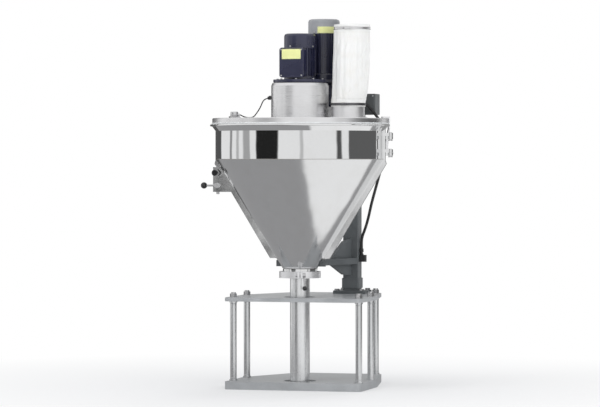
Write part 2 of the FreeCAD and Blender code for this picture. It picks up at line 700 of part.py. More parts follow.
def gear(teeth, face_z0, face_t, bore, phase):
    """Involute spur gear on the auger's axis."""
    pitch = MODULE * teeth / 2
    base = pitch * math.cos(math.radians(20))
    tip, root = pitch + MODULE * 0.9, pitch - MODULE * 1.2
    backlash = 0.7

    def flank_angle(radius):
        """Half of the tooth's angle at a radius."""
        spread = math.sqrt(max((radius / base) ** 2 - 1, 0))
        at = spread - math.atan(spread)
        t20 = math.tan(math.radians(20))
        at_pitch = t20 - math.radians(20)
        return (math.pi / 2 / teeth - backlash / 2 / pitch) + at_pitch - at

    low = max(base, root)
    steps = [low, (low + pitch) / 2, pitch, tip]
    points = []
    for i in range(teeth):
        middle = 2 * math.pi * i / teeth + math.radians(phase)
        left = [(r, middle - flank_angle(r)) for r in [root] * (root < base) + steps]
        right = [(r, middle + flank_angle(r)) for r in reversed([root] * (root < base) + steps)]
        points += [(r * math.cos(a), r * math.sin(a)) for r, a in left + right]
    blank = prism(points, face_z0, face_z0 + face_t)
    return blank.cut(rod(bore, face_z0 - 1, face_z0 + face_t + 1))


def agitator_gear():
    """Wheel on the hollow shaft, dished between hub and rim, with lightening holes."""
    wheel = gear(WHEEL_TEETH, GEAR_Z0, GEAR_T, HOLLOW_R, STIRRER_ANGLE + 180.0 / WHEEL_TEETH)
    dish = [ring(66, 38, GEAR_Z0 + GEAR_T - 5, GEAR_Z0 + GEAR_T + 1), ring(66, 38, GEAR_Z0 - 1, GEAR_Z0 + 5)]
    holes = [rod(9, GEAR_Z0 - 1, GEAR_Z0 + GEAR_T + 1, *polar(52, 60 * i)[:2]) for i in range(6)]
    return wheel.cut(dish + holes)


def pinion():
    """Pinion with its shaft up into the reducer."""
    teeth = gear(PINION_TEETH, GEAR_Z0 - 2, GEAR_T + 4, 9.5, STIRRER_ANGLE + 180.0)
    shaft = rod(10, GEAR_Z0 - 2, MOTOR_Z0 - 2)
    return moved(fused(teeth, shaft), STIRRER_X, STIRRER_Y)


# ---------------------------------------------------------------- shafts, auger and agitator
def motor_shaft():
    """Auger motor's shaft end with its coupling hub."""
    hub = rod(27, 1152, DRUM_Z1 - 8)
    claw = box(12, 25, -4, 4, 1141, 1153)
    shaft = rod(9, 1160, MOTOR_Z0 + 39)
    return fused(hub, shaft, *[turned(claw, 120 * i) for i in range(3)])


def coupling_spider():
    """Elastic star between the coupling claws."""
    arm = box(8, 24, -1.9, 1.9, 1141, 1151)
    return fused(rod(11, 1141, 1151), *[turned(arm, 30 + 60 * i) for i in range(6)])


def auger_shaft():
    """Long shaft from the lower coupling hub down to the tip of the auger."""
    hub = rod(27, 1118, 1140)
    claw = box(12, 25, -4, 4, 1139, 1151)
    tip = Part.makeCone(4, SHAFT_R, 8, V(0, 0, AUGER_Z0 - 14))
    return fused(hub, rod(SHAFT_R, AUGER_Z0 - 6, 1120), tip, *[turned(claw, 60 + 120 * i) for i in range(3)])


def auger_screw():
    """Helical flight swept along the shaft."""
    turns_height = AUGER_Z1 - AUGER_Z0
    spine = Part.makeHelix(AUGER_PITCH, turns_height, SHAFT_R)
    inner, outer, half = SHAFT_R, AUGER_R, FLIGHT_T / 2
    section = Part.makePolygon([V(inner, 0, -half), V(outer, 0, -half), V(outer, 0, half),
                                V(inner, 0, half), V(inner, 0, -half)])
    flight = spine.makePipeShell([section], True, True)
    flight.translate(V(0, 0, AUGER_Z0))
    return flight


AGITATOR_TOP = 868.0
AGITATOR_LOW = 512.0


def agitator_shaft():
    """Hollow shaft round the auger's shaft, from the gear down to the stirring frame."""
    return ring(HOLLOW_R, SHAFT_R + 1.0, 830, 1100)


def agitator_frame():
    """Stirring frame: hub, cross bars, two wall blades along the cone and a ring round the auger."""
    near, far = -14.0, -34.0

    def strip(side):
        """Blade along the cone wall on one side."""
        ends = [(cone_radius(AGITATOR_TOP, near), AGITATOR_TOP), (cone_radius(AGITATOR_LOW, near), AGITATOR_LOW),
                (cone_radius(AGITATOR_LOW, far), AGITATOR_LOW), (cone_radius(AGITATOR_TOP, far), AGITATOR_TOP)]
        return side_plate([(side * x, z) for x, z in ends], -4, 4)

    hub = ring(HOLLOW_R + 10, HOLLOW_R, 832, 872)
    reach = cone_radius(AGITATOR_TOP, far) + 8
    bars = [box(-reach, -HOLLOW_R - 5, -6, 6, 846, 862), box(HOLLOW_R + 5, reach, -6, 6, 846, 862)]
    low_ring = ring(AUGER_R + 16, AUGER_R + 8, AGITATOR_LOW, AGITATOR_LOW + 14)
    gap_reach = cone_radius(AGITATOR_LOW, far) + 10
    links = [box(AUGER_R + 12, gap_reach, -4, 4, AGITATOR_LOW, AGITATOR_LOW + 12),
             box(-gap_reach, -AUGER_R - 12, -4, 4, AGITATOR_LOW, AGITATOR_LOW + 12)]
    return fused(hub, *bars, strip(1), strip(-1), low_ring, *links)


def bearing_hub():
    """Flanged hub in the lid that carries the hollow shaft's bearings."""
    profile = [(31, LID_Z1 - 34), (44, LID_Z1 - 34), (44, LID_Z1), (58, LID_Z1), (58, LID_Z1 + 8), (31, LID_Z1 + 8)]
    return revolve(profile)


def bearings():
    """Ball bearings of the hollow shaft, as plain rings, two in the hub and one above the gear."""
    low = ring(31, HOLLOW_R + RUN, LID_Z1 - 32, LID_Z1 - 20)
    high = ring(31, HOLLOW_R + RUN, LID_Z1 - 6, LID_Z1 + 6)
    return group([low, high])


def shaft_seal():
    """Lip seal under the lower bearing."""
    return ring(44, HOLLOW_R + RUN, LID_Z1 - 42, LID_Z1 - 34)


# ---------------------------------------------------------------- filling tube
def filling_tube():
    """Auger tube with its clamp flange and the turned seat for a nozzle."""
    tube = ring(TUBE_R, TUBE_R - TUBE_T, TUBE_Z0, CLAMP_Z - 8)
    tube = tube.cut(ring(TUBE_R + 1, NOZZLE_SEAT_R, TUBE_Z0 - 1, TUBE_Z0 + NOZZLE_SEAT_H))
    flange = revolve([(TUBE_R - TUBE_T, CLAMP_Z - 8), (CLAMP_FLANGE_R - 1, CLAMP_Z - 8),
                      (CLAMP_FLANGE_R, CLAMP_Z - 1.5), (TUBE_R - TUBE_T, CLAMP_Z - 1.5)])
    return fused(tube, flange)


def tube_gasket():
    """Flat gasket in the clamp joint."""
    return ring(CLAMP_FLANGE_R - 3, NECK_R - 6, CLAMP_Z - 1.5, CLAMP_Z)


CLAMP_BOLT_ANGLE = -75.0


def tube_clamp():
    """Two clamp halves with a groove round both flanges, ears for bolt and hinge."""
    top, bottom = CLAMP_Z + CLAMP_FLANGE_T, CLAMP_Z - 8.0
    profile = [(CLAMP_FLANGE_R - 5, top + 5), (CLAMP_R, top + 5), (CLAMP_R, bottom - 5),
               (CLAMP_FLANGE_R - 5, bottom - 5), (CLAMP_FLANGE_R - 5, bottom - GAP / 2),
               (CLAMP_FLANGE_R + GAP, bottom - GAP / 2), (CLAMP_FLANGE_R + GAP, top + GAP / 2),
               (CLAMP_FLANGE_R - 5, top + GAP / 2)]
    halves = []
    for start in (0, 180):
        half = revolve(profile, start + 1.5, 177)
        ear_z0, ear_z1 = bottom - 2, top + 2
        side = 1 if start == 0 else -1
        for x0 in (CLAMP_R - 3, -CLAMP_R - 22):
            y0, y1 = sorted((side * 3.0, side * 10.0))
            half = half.fuse(box(x0, x0 + 25, y0, y1, ear_z0, ear_z1))
        half = half.removeSplitter()
        middle = (ear_z0 + ear_z1) / 2
        bolt_hole = pin(4.2, V(CLAMP_R + 12, -30, middle), V(CLAMP_R + 12, 30, middle))
        hinge_hole = pin(4.2, V(-CLAMP_R - 12, -30, middle), V(-CLAMP_R - 12, 30, middle))
        halves.append(turned(half.cut([bolt_hole, hinge_hole]), CLAMP_BOLT_ANGLE))
    return group(halves)


def clamp_middle():
    """Height of the clamp's bolt line."""
    return CLAMP_Z + (CLAMP_FLANGE_T - 8) / 2


def clamp_hinge():
    """Fixed bolt that joins the clamp halves at the back."""
    z = clamp_middle()
    shank = pin(4, V(-CLAMP_R - 12, -10, z), V(-CLAMP_R - 12, 10, z))
    ends = [pin(7, V(-CLAMP_R - 12, y, z), V(-CLAMP_R - 12, y + 6, z)) for y in (-16, 10)]
    return turned(fused(shank, *ends), CLAMP_BOLT_ANGLE)


def clamp_lever():
    """Clamping bolt with a downward lever; returned with its black ball."""
    z = clamp_middle()
    x = CLAMP_R + 12
    bolt = pin(4, V(x, -16, z), V(x, 20, z))
    nut = pin(7, V(x, -17, z), V(x, -10.5, z))
    hub = pin(8, V(x, 10.5, z), V(x, 22, z))
    arm = pin(3.5, V(x, 16, z), V(x - 4, 18, z - 44))
    ball = Part.makeSphere(9, V(x - 4, 18, z - 50))
    metal = fused(bolt, nut, hub, arm)
    return turned(metal, CLAMP_BOLT_ANGLE), turned(ball.cut(metal), CLAMP_BOLT_ANGLE)


# ---------------------------------------------------------------- inlet
def inlet_spigot():
    """Round inlet collar through the lid, with a foot flange and a bead that keeps the strap on."""
    inner = SPIGOT_R - SPIGOT_T
    profile = [(inner, LID_Z1 - LID_PLATE - 4), (SPIGOT_R, LID_Z1 - LID_PLATE - 4), (SPIGOT_R, LID_Z1),
               (SPIGOT_R + 10, LID_Z1), (SPIGOT_R + 10, LID_Z1 + 5), (SPIGOT_R, LID_Z1 + 5),
               (SPIGOT_R, SPIGOT_Z1 - 4), (SPIGOT_R + 1.2, SPIGOT_Z1 - 2), (SPIGOT_R, SPIGOT_Z1),
               (inner, SPIGOT_Z1)]
    return moved(revolve(profile), INLET_X)


def leaning_tube(low_r, high_r):
    """Slightly widening, leaning cone between the sleeve's hem and its top."""
    low = Part.Wire(Part.makeCircle(low_r, V(INLET_X, 0, CLOTH_Z0)))
    collar = Part.Wire(Part.makeCircle(low_r, V(INLET_X, 0, SPIGOT_Z1)))
    high = Part.Wire(Part.makeCircle(high_r, V(INLET_X + CLOTH_LEAN, 0, CLOTH_Z1)))
    return Part.makeLoft([low, collar, high], True, True)


def inlet_sleeve():
    """Flexible sleeve from the inlet collar up to the feeder's spout."""
    return leaning_tube(CLOTH_R, CLOTH_TOP_R).cut(leaning_tube(CLOTH_R - CLOTH_T, CLOTH_TOP_R - CLOTH_T))


def sleeve_straps():
    """Band clamps with screw housings at the hem and at the top."""
    straps = []
    lean = CLOTH_LEAN * (TOP_STRAP_Z - SPIGOT_Z1) / (CLOTH_Z1 - SPIGOT_Z1)
    for x, z, inner in ((INLET_X, STRAP_Z, CLOTH_R + 0.3), (INLET_X + lean, TOP_STRAP_Z, CLOTH_TOP_R + 0.3)):
        band = ring(inner + 1.5, inner, z - 5, z + 5, x)
        housing = centred_box(x, -inner - 4, 22, 9, z - 6, z + 6)
        straps.append(fused(band, housing).cut(rod(inner, z - 8, z + 8, x)))
    return group(straps)


def label_plates():
    """Blank rating plates: on the auger motor's terminal box and on the stirrer's fan cover."""
    face = MOTOR_R + BOX_REACH
    low = box(face, face + 0.8, -38, 38, AUGER_BOX_Z1 - 44, AUGER_BOX_Z1 - 6)
    curved = ring(MOTOR_R + 0.8, MOTOR_R, *(STIRRER_MOTOR_Z1 + z for z in VIEW_PLATE_Z))
    curved = turned(curved.common(box(30, 80, -34, 34, 1300, 1500)), VIEW_SIDE)
    return group([turned(low, AUGER_BOX_ANGLE), moved(curved, STIRRER_X, STIRRER_Y)])


# ---------------------------------------------------------------- sensor and cables
SENSOR_ANGLE = 195.0
SENSOR = polar(253.0, SENSOR_ANGLE)
LEAD_R = 2.2
HARNESS_R = 5.5


def level_sensor():
    """Level probe screwed through the lid, with its two nuts and a side outlet."""
    x, y = SENSOR.x, SENSOR.y
    body = rod(14.8, 905, LID_Z1 + 26, x, y)
    body = body.makeFillet(3, [e for e in body.Edges if abs(e.CenterOfMass.z - LID_Z1 - 26) < 0.1])
    nuts = [hex_prism(38, LID_Z1, LID_Z1 + 8, x, y),
            hex_prism(38, LID_Z1 - LID_PLATE - 8, LID_Z1 - LID_PLATE, x, y)]
    outlet = pin(5, SENSOR + V(0, 0, lead_points()[0].z), lead_points()[0])
    first, second = lead_points()[:2]
    return fused(body, outlet, *nuts).cut(pin(LEAD_R, first, second))


def lead_points():
    """Corners of the probe's lead: off the probe, down to the lid, up and into the drum."""
    lie = LID_Z1 + LEAD_R + 0.6
    spots = [(232, LID_Z1 + 14), (208, lie), (180, lie), (156, 1076), (140, 1114), (113, 1121)]
    return [polar(radius, SENSOR_ANGLE, z) for radius, z in spots]


def sensor_cable():
    """Lead from the probe, along the lid and up into the drum."""
    return route(lead_points(), LEAD_R)


def lead_entry(radius, start, end):
    """Cylinder on the line of the lead where it enters the drum, between two distances outwards."""
    inside, outside = lead_points()[-1], lead_points()[-2]
    line = (outside - inside).normalize()
    return pin(radius, inside + line * start, inside + line * end)


def sensor_gland():
    """Cable gland in the drum wall."""
    drum = rod(DRUM_R + 0.3, 1000, 1200)
    outer = fused(lead_entry(8, -2, 7), lead_entry(6, 6, 12)).cut(drum)
    return fused(outer, lead_entry(5.9, -12, 3)).cut(lead_entry(LEAD_R, -20, 20))


GLAND = V(STIRRER_X, STIRRER_Y, 0) + polar(80.0, STIRRER_BOX_ANGLE)


def box_gland():
    """Gland under the stirrer motor's terminal box."""
    z = STIRRER_BOX_Z0
    nut = hex_prism(20, z - 4, z + 4, GLAND.x, GLAND.y)
    return fused(nut, rod(8.5, z - 14, z - 3, GLAND.x, GLAND.y)).cut(rod(HARNESS_R, 0, 2000, GLAND.x, GLAND.y))


def motor_cable():
    """Motor lead: out of the terminal box, past the junction box, over the lid's edge, down the sleeve."""
    side = COL_X + COL_SLEEVE / 2 + HARNESS_R + 1
    points = [V(GLAND.x, GLAND.y, STIRRER_BOX_Z0 + 4), V(GLAND.x, GLAND.y, 1181), V(158, 160, 1142),
              V(190, 206, 1118), V(226, 235, 1080), V(258, 256, 1030), V(266, 268, 985), V(265, 278, 935),
              V(258, 288, 880), V(243, 300, 825), V(222, 316, 765), V(201, 334, 705), V(186, 351, 655),
              V(170, 366, 612), V(side, COL_Y, 572), V(side, COL_Y, 505)]
    return route(points, HARNESS_R)


def cable_clip():
    """Saddle clip that holds the motor lead to the column sleeve."""
    face = COL_X + COL_SLEEVE / 2
    x, z0, z1 = face + HARNESS_R + 1, 516.0, 530.0
    saddle = rod(HARNESS_R + 2.5, z0, z1, x, COL_Y)
    foot = box(face, face + 4, COL_Y - 17, COL_Y + 17, z0, z1)
    return fused(saddle, foot).cut([rod(HARNESS_R, 0, 900, x, COL_Y), box(0, face, 300, 450, 0, 900)])


def cable_entry():
    """Hood that takes the motor lead into the column sleeve."""
    face = COL_X + COL_SLEEVE / 2
    x = face + HARNESS_R + 1
    hood = rounded_rectangle(26, 26, 5, 478, 505, face + 12, COL_Y)
    plug = rod(8, 505, 510, x, COL_Y).cut(rod(HARNESS_R, 504, 512, x, COL_Y))
    return fused(hood, plug).cut(box(0, face, 300, 450, 400, 600))


def junction_box():
    """Painted junction box on the flank of the arm, with a raised cover and a rear entry."""
    x0 = COL_X + ARM_HALF
    body = box(x0, x0 + 62, 252, 330, 1058, 1140)
    body = body.makeFillet(3, body.Edges)
    cover = box(x0 + 3, x0 + 59, 248, 254, 1061, 1137)
    return fused(body, cover)


# ---------------------------------------------------------------- the nodes
def build():
    """Every node of the part by name."""
    knob_spindle, knob_grip = latch(KNOB_Z, lever=False)
    lever_spindle, lever_ball = latch(LEVER_Z, lever=True)
    clamp_metal, clamp_ball = clamp_lever()
    nodes = {
        "lower_frame": lower_frame(),
        "post_nuts": post_nuts(),
        "top_plate": top_plate(),
        "foot_bolts": foot_bolts(),
        "column_post": column_post(),
        "lift_sleeve": lift_sleeve(),
        "guide_pads": guide_pads(),
        "head_arm": head_arm(),
        "head_bolts": head_bolts(),
        "ring_arm": ring_arm(),
        "neck_bracket": neck_bracket(),
        "rear_shell": rear_shell(),
        "door_seal": door_seal(),
        "hinge_pins": hinge_pins(),
        "front_shell": front_shell(),
        "latch_lever": lever_spindle,
        "latch_ball": lever_ball,
        "latch_spindle": knob_spindle,
        "latch_knob": knob_grip,
        "lid": lid(),
        "lid_gasket": lid_gasket(),
        "lid_latch_bases": group([turned(lid_latch_base(), a) for a in LATCH_ANGLES]),
        "lid_latch_right": turned(lid_latch_lever(), LATCH_ANGLES[0]),
        "lid_latch_left": turned(lid_latch_lever(), LATCH_ANGLES[1]),
        "gear_case": gear_case(),
        "drive_drum": drive_drum(),
        "motor_plate": motor_plate(),
        "auger_motor": motor_body(0, 0, MOTOR_Z0, AUGER_MOTOR_Z1 - COVER_H, 8),
        "auger_fan_cover": fan_cover(0, 0, AUGER_MOTOR_Z1 - COVER_H, AUGER_MOTOR_Z1),
        "auger_terminal_box": terminal_box(0, 0, AUGER_BOX_ANGLE, AUGER_BOX_Z0, AUGER_BOX_Z1, BOX_REACH),
        "stirrer_reducer": stirrer_reducer(),
        "stirrer_motor": motor_body(STIRRER_X, STIRRER_Y, MOTOR_Z0, STIRRER_MOTOR_Z1 - COVER_H, 20),
        "stirrer_fan_cover": fan_cover(STIRRER_X, STIRRER_Y, STIRRER_MOTOR_Z1 - COVER_H, STIRRER_MOTOR_Z1),
        "stirrer_terminal_box": terminal_box(STIRRER_X, STIRRER_Y, STIRRER_BOX_ANGLE, STIRRER_BOX_Z0,
                                             STIRRER_BOX_Z1, BOX_REACH),
        "agitator_gear": agitator_gear(),
        "pinion": pinion(),
        "motor_shaft": motor_shaft(),
        "coupling_spider": coupling_spider(),
        "auger_shaft": auger_shaft(),
        "auger_screw": auger_screw(),
        "agitator_shaft": agitator_shaft(),
        "agitator_frame": agitator_frame(),
        "bearing_hub": bearing_hub(),
        "bearings": bearings(),
        "shaft_seal": shaft_seal(),
        "filling_tube": filling_tube(),
        "tube_gasket": tube_gasket(),
        "tube_clamp": group(tube_clamp().Solids + [clamp_hinge()]),
        "clamp_lever": clamp_metal,
        "clamp_ball": clamp_ball,
        "inlet_spigot": inlet_spigot(),
        "inlet_sleeve": inlet_sleeve(),
        "sleeve_straps": sleeve_straps(),
        "label_plates": label_plates(),
        "level_sensor": level_sensor(),
        "cable_fittings": group([sensor_gland(), box_gland(), cable_clip(), cable_entry()]),
        "junction_box": junction_box(),
        "sensor_cable": sensor_cable(),
        "motor_cable": motor_cable(),
    }
    nodes["stand_posts"] = group([stand_post(x, y) for x, y in POST_PLACES])
    return nodes


def main():
    """Writes one STEP file for each node."""
    os.makedirs("parts", exist_ok=True)
    for name, shape in sorted(build().items()):
        solids = shape.Solids
        state = "ok" if shape.isValid() and solids and all(s.Volume > 0 for s in solids) else "BAD"
        print(f"{name:22} {len(solids)} solids {shape.Volume / 1000:9.1f} cm3 {state}")
        shape.exportStep(f"parts/{name}.step")


main()
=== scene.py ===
"""Vertical auger powder filler: finishes, sleeve, fasteners, welds and studio round the model."""
import logging
import math
from dataclasses import dataclass, field
from enum import Enum
from typing import Iterable, Sequence

import bmesh
import bpy
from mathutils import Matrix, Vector


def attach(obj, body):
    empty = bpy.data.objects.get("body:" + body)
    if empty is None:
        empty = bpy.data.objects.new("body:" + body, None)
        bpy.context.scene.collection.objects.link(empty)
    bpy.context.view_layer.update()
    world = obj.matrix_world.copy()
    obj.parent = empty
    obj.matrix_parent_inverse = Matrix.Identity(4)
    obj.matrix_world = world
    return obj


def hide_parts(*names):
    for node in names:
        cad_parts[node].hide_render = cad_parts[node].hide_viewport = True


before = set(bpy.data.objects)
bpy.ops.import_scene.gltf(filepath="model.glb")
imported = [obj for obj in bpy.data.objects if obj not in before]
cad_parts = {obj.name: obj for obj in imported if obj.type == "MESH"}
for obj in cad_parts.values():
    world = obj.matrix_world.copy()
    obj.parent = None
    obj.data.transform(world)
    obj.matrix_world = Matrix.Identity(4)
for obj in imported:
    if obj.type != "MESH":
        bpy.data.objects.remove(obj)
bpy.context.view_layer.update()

LOG = logging.getLogger("filler")
MM = 0.001
UP = Vector((0.0, 0.0, 1.0))
Colour = tuple[float, float, float]
Socket = bpy.types.NodeSocket
Node = bpy.types.Node
Mesh = bpy.types.Mesh
Object = bpy.types.Object
Material = bpy.types.Material
WHITE = (1.0, 1.0, 1.0)
FULL_TURN = 2.0 * math.pi

# heights and places shared by several sub-assemblies, in metres
LID_TOP = 1.041
JUNCTION_Z = 0.884
BAND_R = 0.325
NECK_R = 0.066
NECK_Z = 0.462
STIRRER = Vector((0.06756, 0.10813, 0.0))
COLUMN = Vector((0.114, 0.376, 0.0))


def tone(red: int, green: int, blue: int) -> Colour:
    """Linear colour of a screen colour given in 0 to 255."""
    def linear(value: int) -> float:
        """One channel, screen to linear."""
        c = value / 255.0
        return c / 12.92 if c <= 0.04045 else ((c + 0.055) / 1.055) ** 2.4
    return linear(red), linear(green), linear(blue)


def polar(radius: float, degrees: float, z: float = 0.0, centre: Vector = Vector()) -> Vector:
    """Point at a radius and an angle round an upright line."""
    a = math.radians(degrees)
    return Vector((centre.x + radius * math.cos(a), centre.y + radius * math.sin(a), z))


# ---------------------------------------------------------------- node graphs
class Graph:
    """Adds and joins nodes in one tree."""

    def __init__(self, tree: bpy.types.NodeTree) -> None:
        """Keep the tree.

        Args:
            tree: shader or geometry tree that the nodes go in.
        """
        self.tree = tree

    def add(self, kind: str, inputs: dict | None = None, **settings) -> Node:
        """Add a node.

        Args:
            kind: the node's type name.
            inputs: values, sockets or nodes by input name or number.
            settings: properties of the node.

        Returns:
            The new node.
        """
        node = self.tree.nodes.new(kind)
        for name, value in settings.items():
            setattr(node, name, value)
        for key, value in (inputs or {}).items():
            socket = node.inputs[key]
            if isinstance(value, Node):
                self.tree.links.new(value.outputs[0], socket)
            elif isinstance(value, Socket):
                self.tree.links.new(value, socket)
            else:
                socket.default_value = value
        return node

    def math(self, operation: str, a, b=0.0, clamp: bool = False) -> Socket:
        """Result of one arithmetic step."""
        return self.add("ShaderNodeMath", {0: a, 1: b}, operation=operation, use_clamp=clamp).outputs[0]

    def plus(self, a, b, clamp: bool = False) -> Socket:
        """Sum of two numbers."""
        return self.math("ADD", a, b, clamp)

    def times(self, a, b) -> Socket:
        """Product of two numbers."""
        return self.math("MULTIPLY", a, b)

    def vector(self, operation: str, a, b) -> Socket:
        """Result of one step on places."""
        return self.add("ShaderNodeVectorMath", {0: a, 1: b}, operation=operation).outputs[0]

    def span(self, value, low: float, high: float, to_low: float, to_high: float) -> Socket:
        """Value mapped from one range to another, clamped."""
        inputs = {"Value": value, "From Min": low, "From Max": high, "To Min": to_low, "To Max": to_high}
        return self.add("ShaderNodeMapRange", inputs).outputs[0]

    def mix(self, factor, a, b) -> Socket:
        """Colour between a and b."""
        node = self.add("ShaderNodeMix", data_type="RGBA")
        for socket, value in ((node.inputs[0], factor), (node.inputs[6], a), (node.inputs[7], b)):
            if isinstance(value, Socket):
                self.tree.links.new(value, socket)
            elif isinstance(value, tuple):
                socket.default_value = (*value[:3], 1.0)
            else:
                socket.default_value = value
        return node.outputs[2]

    def blend(self, factor, a, b) -> Socket:
        """Number between a and b."""
        return self.add("ShaderNodeMix", {0: factor, 2: a, 3: b}, data_type="FLOAT").outputs[0]

    def noise(self, place, scale: float, detail: float = 3.0, rough: float = 0.55) -> Socket:
        """Noise value at a place."""
        inputs = {"Vector": place, "Scale": scale, "Detail": detail, "Roughness": rough}
        return self.add("ShaderNodeTexNoise", inputs).outputs[0]

    def stretch(self, place, x: float, y: float, z: float) -> Socket:
        """Place scaled along each axis."""
        return self.add("ShaderNodeMapping", {"Vector": place, "Scale": (x, y, z)}).outputs[0]

    def split(self, place) -> Node:
        """X, Y and Z of a place."""
        return self.add("ShaderNodeSeparateXYZ", {0: place})


def empty_graph(owner: Material | bpy.types.World) -> Graph:
    """Node graph of a material or world, with nothing in it."""
    owner.use_nodes = True
    owner.node_tree.nodes.clear()
    return Graph(owner.node_tree)


# ---------------------------------------------------------------- finishes
class Grain(Enum):
    """Way the brushing or turning lines run."""

    LEVEL = "level"      # round an upright wall
    UPRIGHT = "upright"  # up and down
    DISC = "disc"        # rings on a flat top
    PLAIN = "plain"      # rolled sheet, no direction


@dataclass(frozen=True)
class Finish:
    """A surface finish; each kind fills in its shader."""

    name: str
    colour: Colour
    roughness: float

    def material(self) -> Material:
        """The finish's material, made once.

        Returns:
            The material, shared by every piece with this finish.
        """
        made = bpy.data.materials.get(self.name)
        if made is None:
            made = bpy.data.materials.new(self.name)
            graph = empty_graph(made)
            shader = graph.add("ShaderNodeBsdfPrincipled")
            graph.add("ShaderNodeOutputMaterial", {"Surface": shader})
            place = graph.add("ShaderNodeTexCoord").outputs["Object"]
            self.shade(graph, shader, place)
        return made

    def shade(self, graph: Graph, shader: Node, place: Socket) -> None:
        """Fill in the shader."""
        raise NotImplementedError

    def relief(self, graph: Graph, shader: Node, height, depth: float, strength: float = 1.0,
               under=None) -> Socket:
        """Bump of a height in metres.

        Args:
            graph: the material's graph.
            shader: the shader that takes the bump.
            height: height socket, 0 to 1.
            depth: real depth of the relief.
            strength: how much of it shows.
            under: an earlier bump that this one lies on.

        Returns:
            The bump's normal.
        """
        inputs = {"Height": height, "Distance": depth, "Strength": strength}
        if under is not None:
            inputs["Normal"] = under
        normal = graph.add("ShaderNodeBump", inputs).outputs[0]
        graph.tree.links.new(normal, shader.inputs["Normal"])
        return normal

    def wire(self, graph: Graph, shader: Node, colour, roughness) -> None:
        """Join colour and roughness to the shader."""
        graph.tree.links.new(colour, shader.inputs["Base Color"])
        graph.tree.links.new(roughness, shader.inputs["Roughness"])


@dataclass(frozen=True)
class Steel(Finish):
    """Bare metal: grain lines, hand smudges, a few rubbed scratches and a slight waviness of the sheet."""

    grain: Grain = Grain.PLAIN
    depth: float = 0.08         # share of roughness that the grain moves
    smudge: float = 0.07
    centre: tuple[float, float] = (0.0, 0.0)
    grain_depth: float = 0.00002  # depth of the grain lines, metres
    waviness: float = 0.0       # depth of the sheet's slow waves, metres
    stain: Colour = (0.5, 0.47, 0.43)
    stain_share: float = 0.12
    fine_scale: float = 1100.0
    slow_scale: float = 7.0
    plain_scale: float = 420.0
    smudge_scale: float = 13.0
    scratch_scale: tuple[float, float, float] = (40.0, 900.0, 260.0)
    scratch_rise: float = 0.05
    least_roughness: float = 0.03

    def lines(self, graph: Graph, place) -> Socket:
        """Noise drawn out along the grain."""
        fine, slow = self.fine_scale, self.slow_scale
        scales = {Grain.LEVEL: (slow, slow, fine), Grain.UPRIGHT: (fine, fine, slow)}
        if self.grain in scales:
            return graph.noise(graph.stretch(place, *scales[self.grain]), 1.0)
        if self.grain is Grain.DISC:
            x, y = self.centre
            moved = graph.vector("ADD", place, (-x, -y, 0.0))
            flat = graph.stretch(moved, 1.0, 1.0, 0.0)
            radius = graph.add("ShaderNodeVectorMath", {0: flat}, operation="LENGTH").outputs["Value"]
            around = graph.stretch(moved, slow, slow, slow)
            parts = graph.split(around)
            joined = {"X": graph.times(radius, fine), "Y": parts.outputs[0], "Z": parts.outputs[1]}
            return graph.noise(graph.add("ShaderNodeCombineXYZ", joined).outputs[0], 1.0)
        return graph.noise(place, self.plain_scale)

    def shade(self, graph: Graph, shader: Node, place: Socket) -> None:
        """Metal with grain in its roughness and bump."""
        lines = self.lines(graph, place)
        smudges = graph.noise(place, self.smudge_scale, 5.0, 0.62)
        scratch = graph.noise(graph.stretch(place, *self.scratch_scale), 1.0, 2.0)
        scratch = graph.span(scratch, 0.69, 0.76, 0.0, 1.0)
        rough = graph.plus(graph.span(lines, 0.3, 0.7, -self.depth, self.depth),
                           graph.span(smudges, 0.35, 0.7, 0.0, self.smudge))
        rough = graph.plus(rough, graph.times(scratch, self.scratch_rise))
        rough = graph.math("MAXIMUM", graph.plus(rough, self.roughness), self.least_roughness)
        handled = graph.times(graph.span(smudges, 0.45, 0.75, 0.0, 1.0), self.stain_share)
        colour = graph.mix(handled, self.colour, self.stain)
        low = tuple(c * 0.9 for c in self.colour)
        colour = graph.mix(graph.span(lines, 0.62, 0.35, 0.0, 0.5), colour, low)
        self.wire(graph, shader, colour, self.vary(graph, place, rough))
        shader.inputs["Metallic"].default_value = 1.0
        under = None
        if self.waviness > 0.0:
            slow = graph.noise(graph.stretch(place, 5.0, 5.0, 7.0), 1.0, 1.5)
            under = self.relief(graph, shader, slow, self.waviness)
        self.relief(graph, shader, lines, self.grain_depth, 0.35, under)

    def vary(self, graph: Graph, place, rough) -> Socket:
        """Roughness, as it is unless a finish changes it by zone."""
        return rough


@dataclass(frozen=True)
class HopperSteel(Steel):
    """Hopper sheet: mirror-polished band over a satin cone, with the flange faces between the two."""

    band_roughness: float = 0.05
    split_z: float = JUNCTION_Z

    def vary(self, graph: Graph, place, rough) -> Socket:
        """Low roughness over the joint line, the satin value under it."""
        height = graph.split(place).outputs[2]
        share = graph.span(height, self.split_z - 0.0015, self.split_z + 0.0005, 0.0, 1.0)
        polished = graph.plus(graph.times(rough, 0.12), self.band_roughness)
        return graph.blend(share, rough, polished)


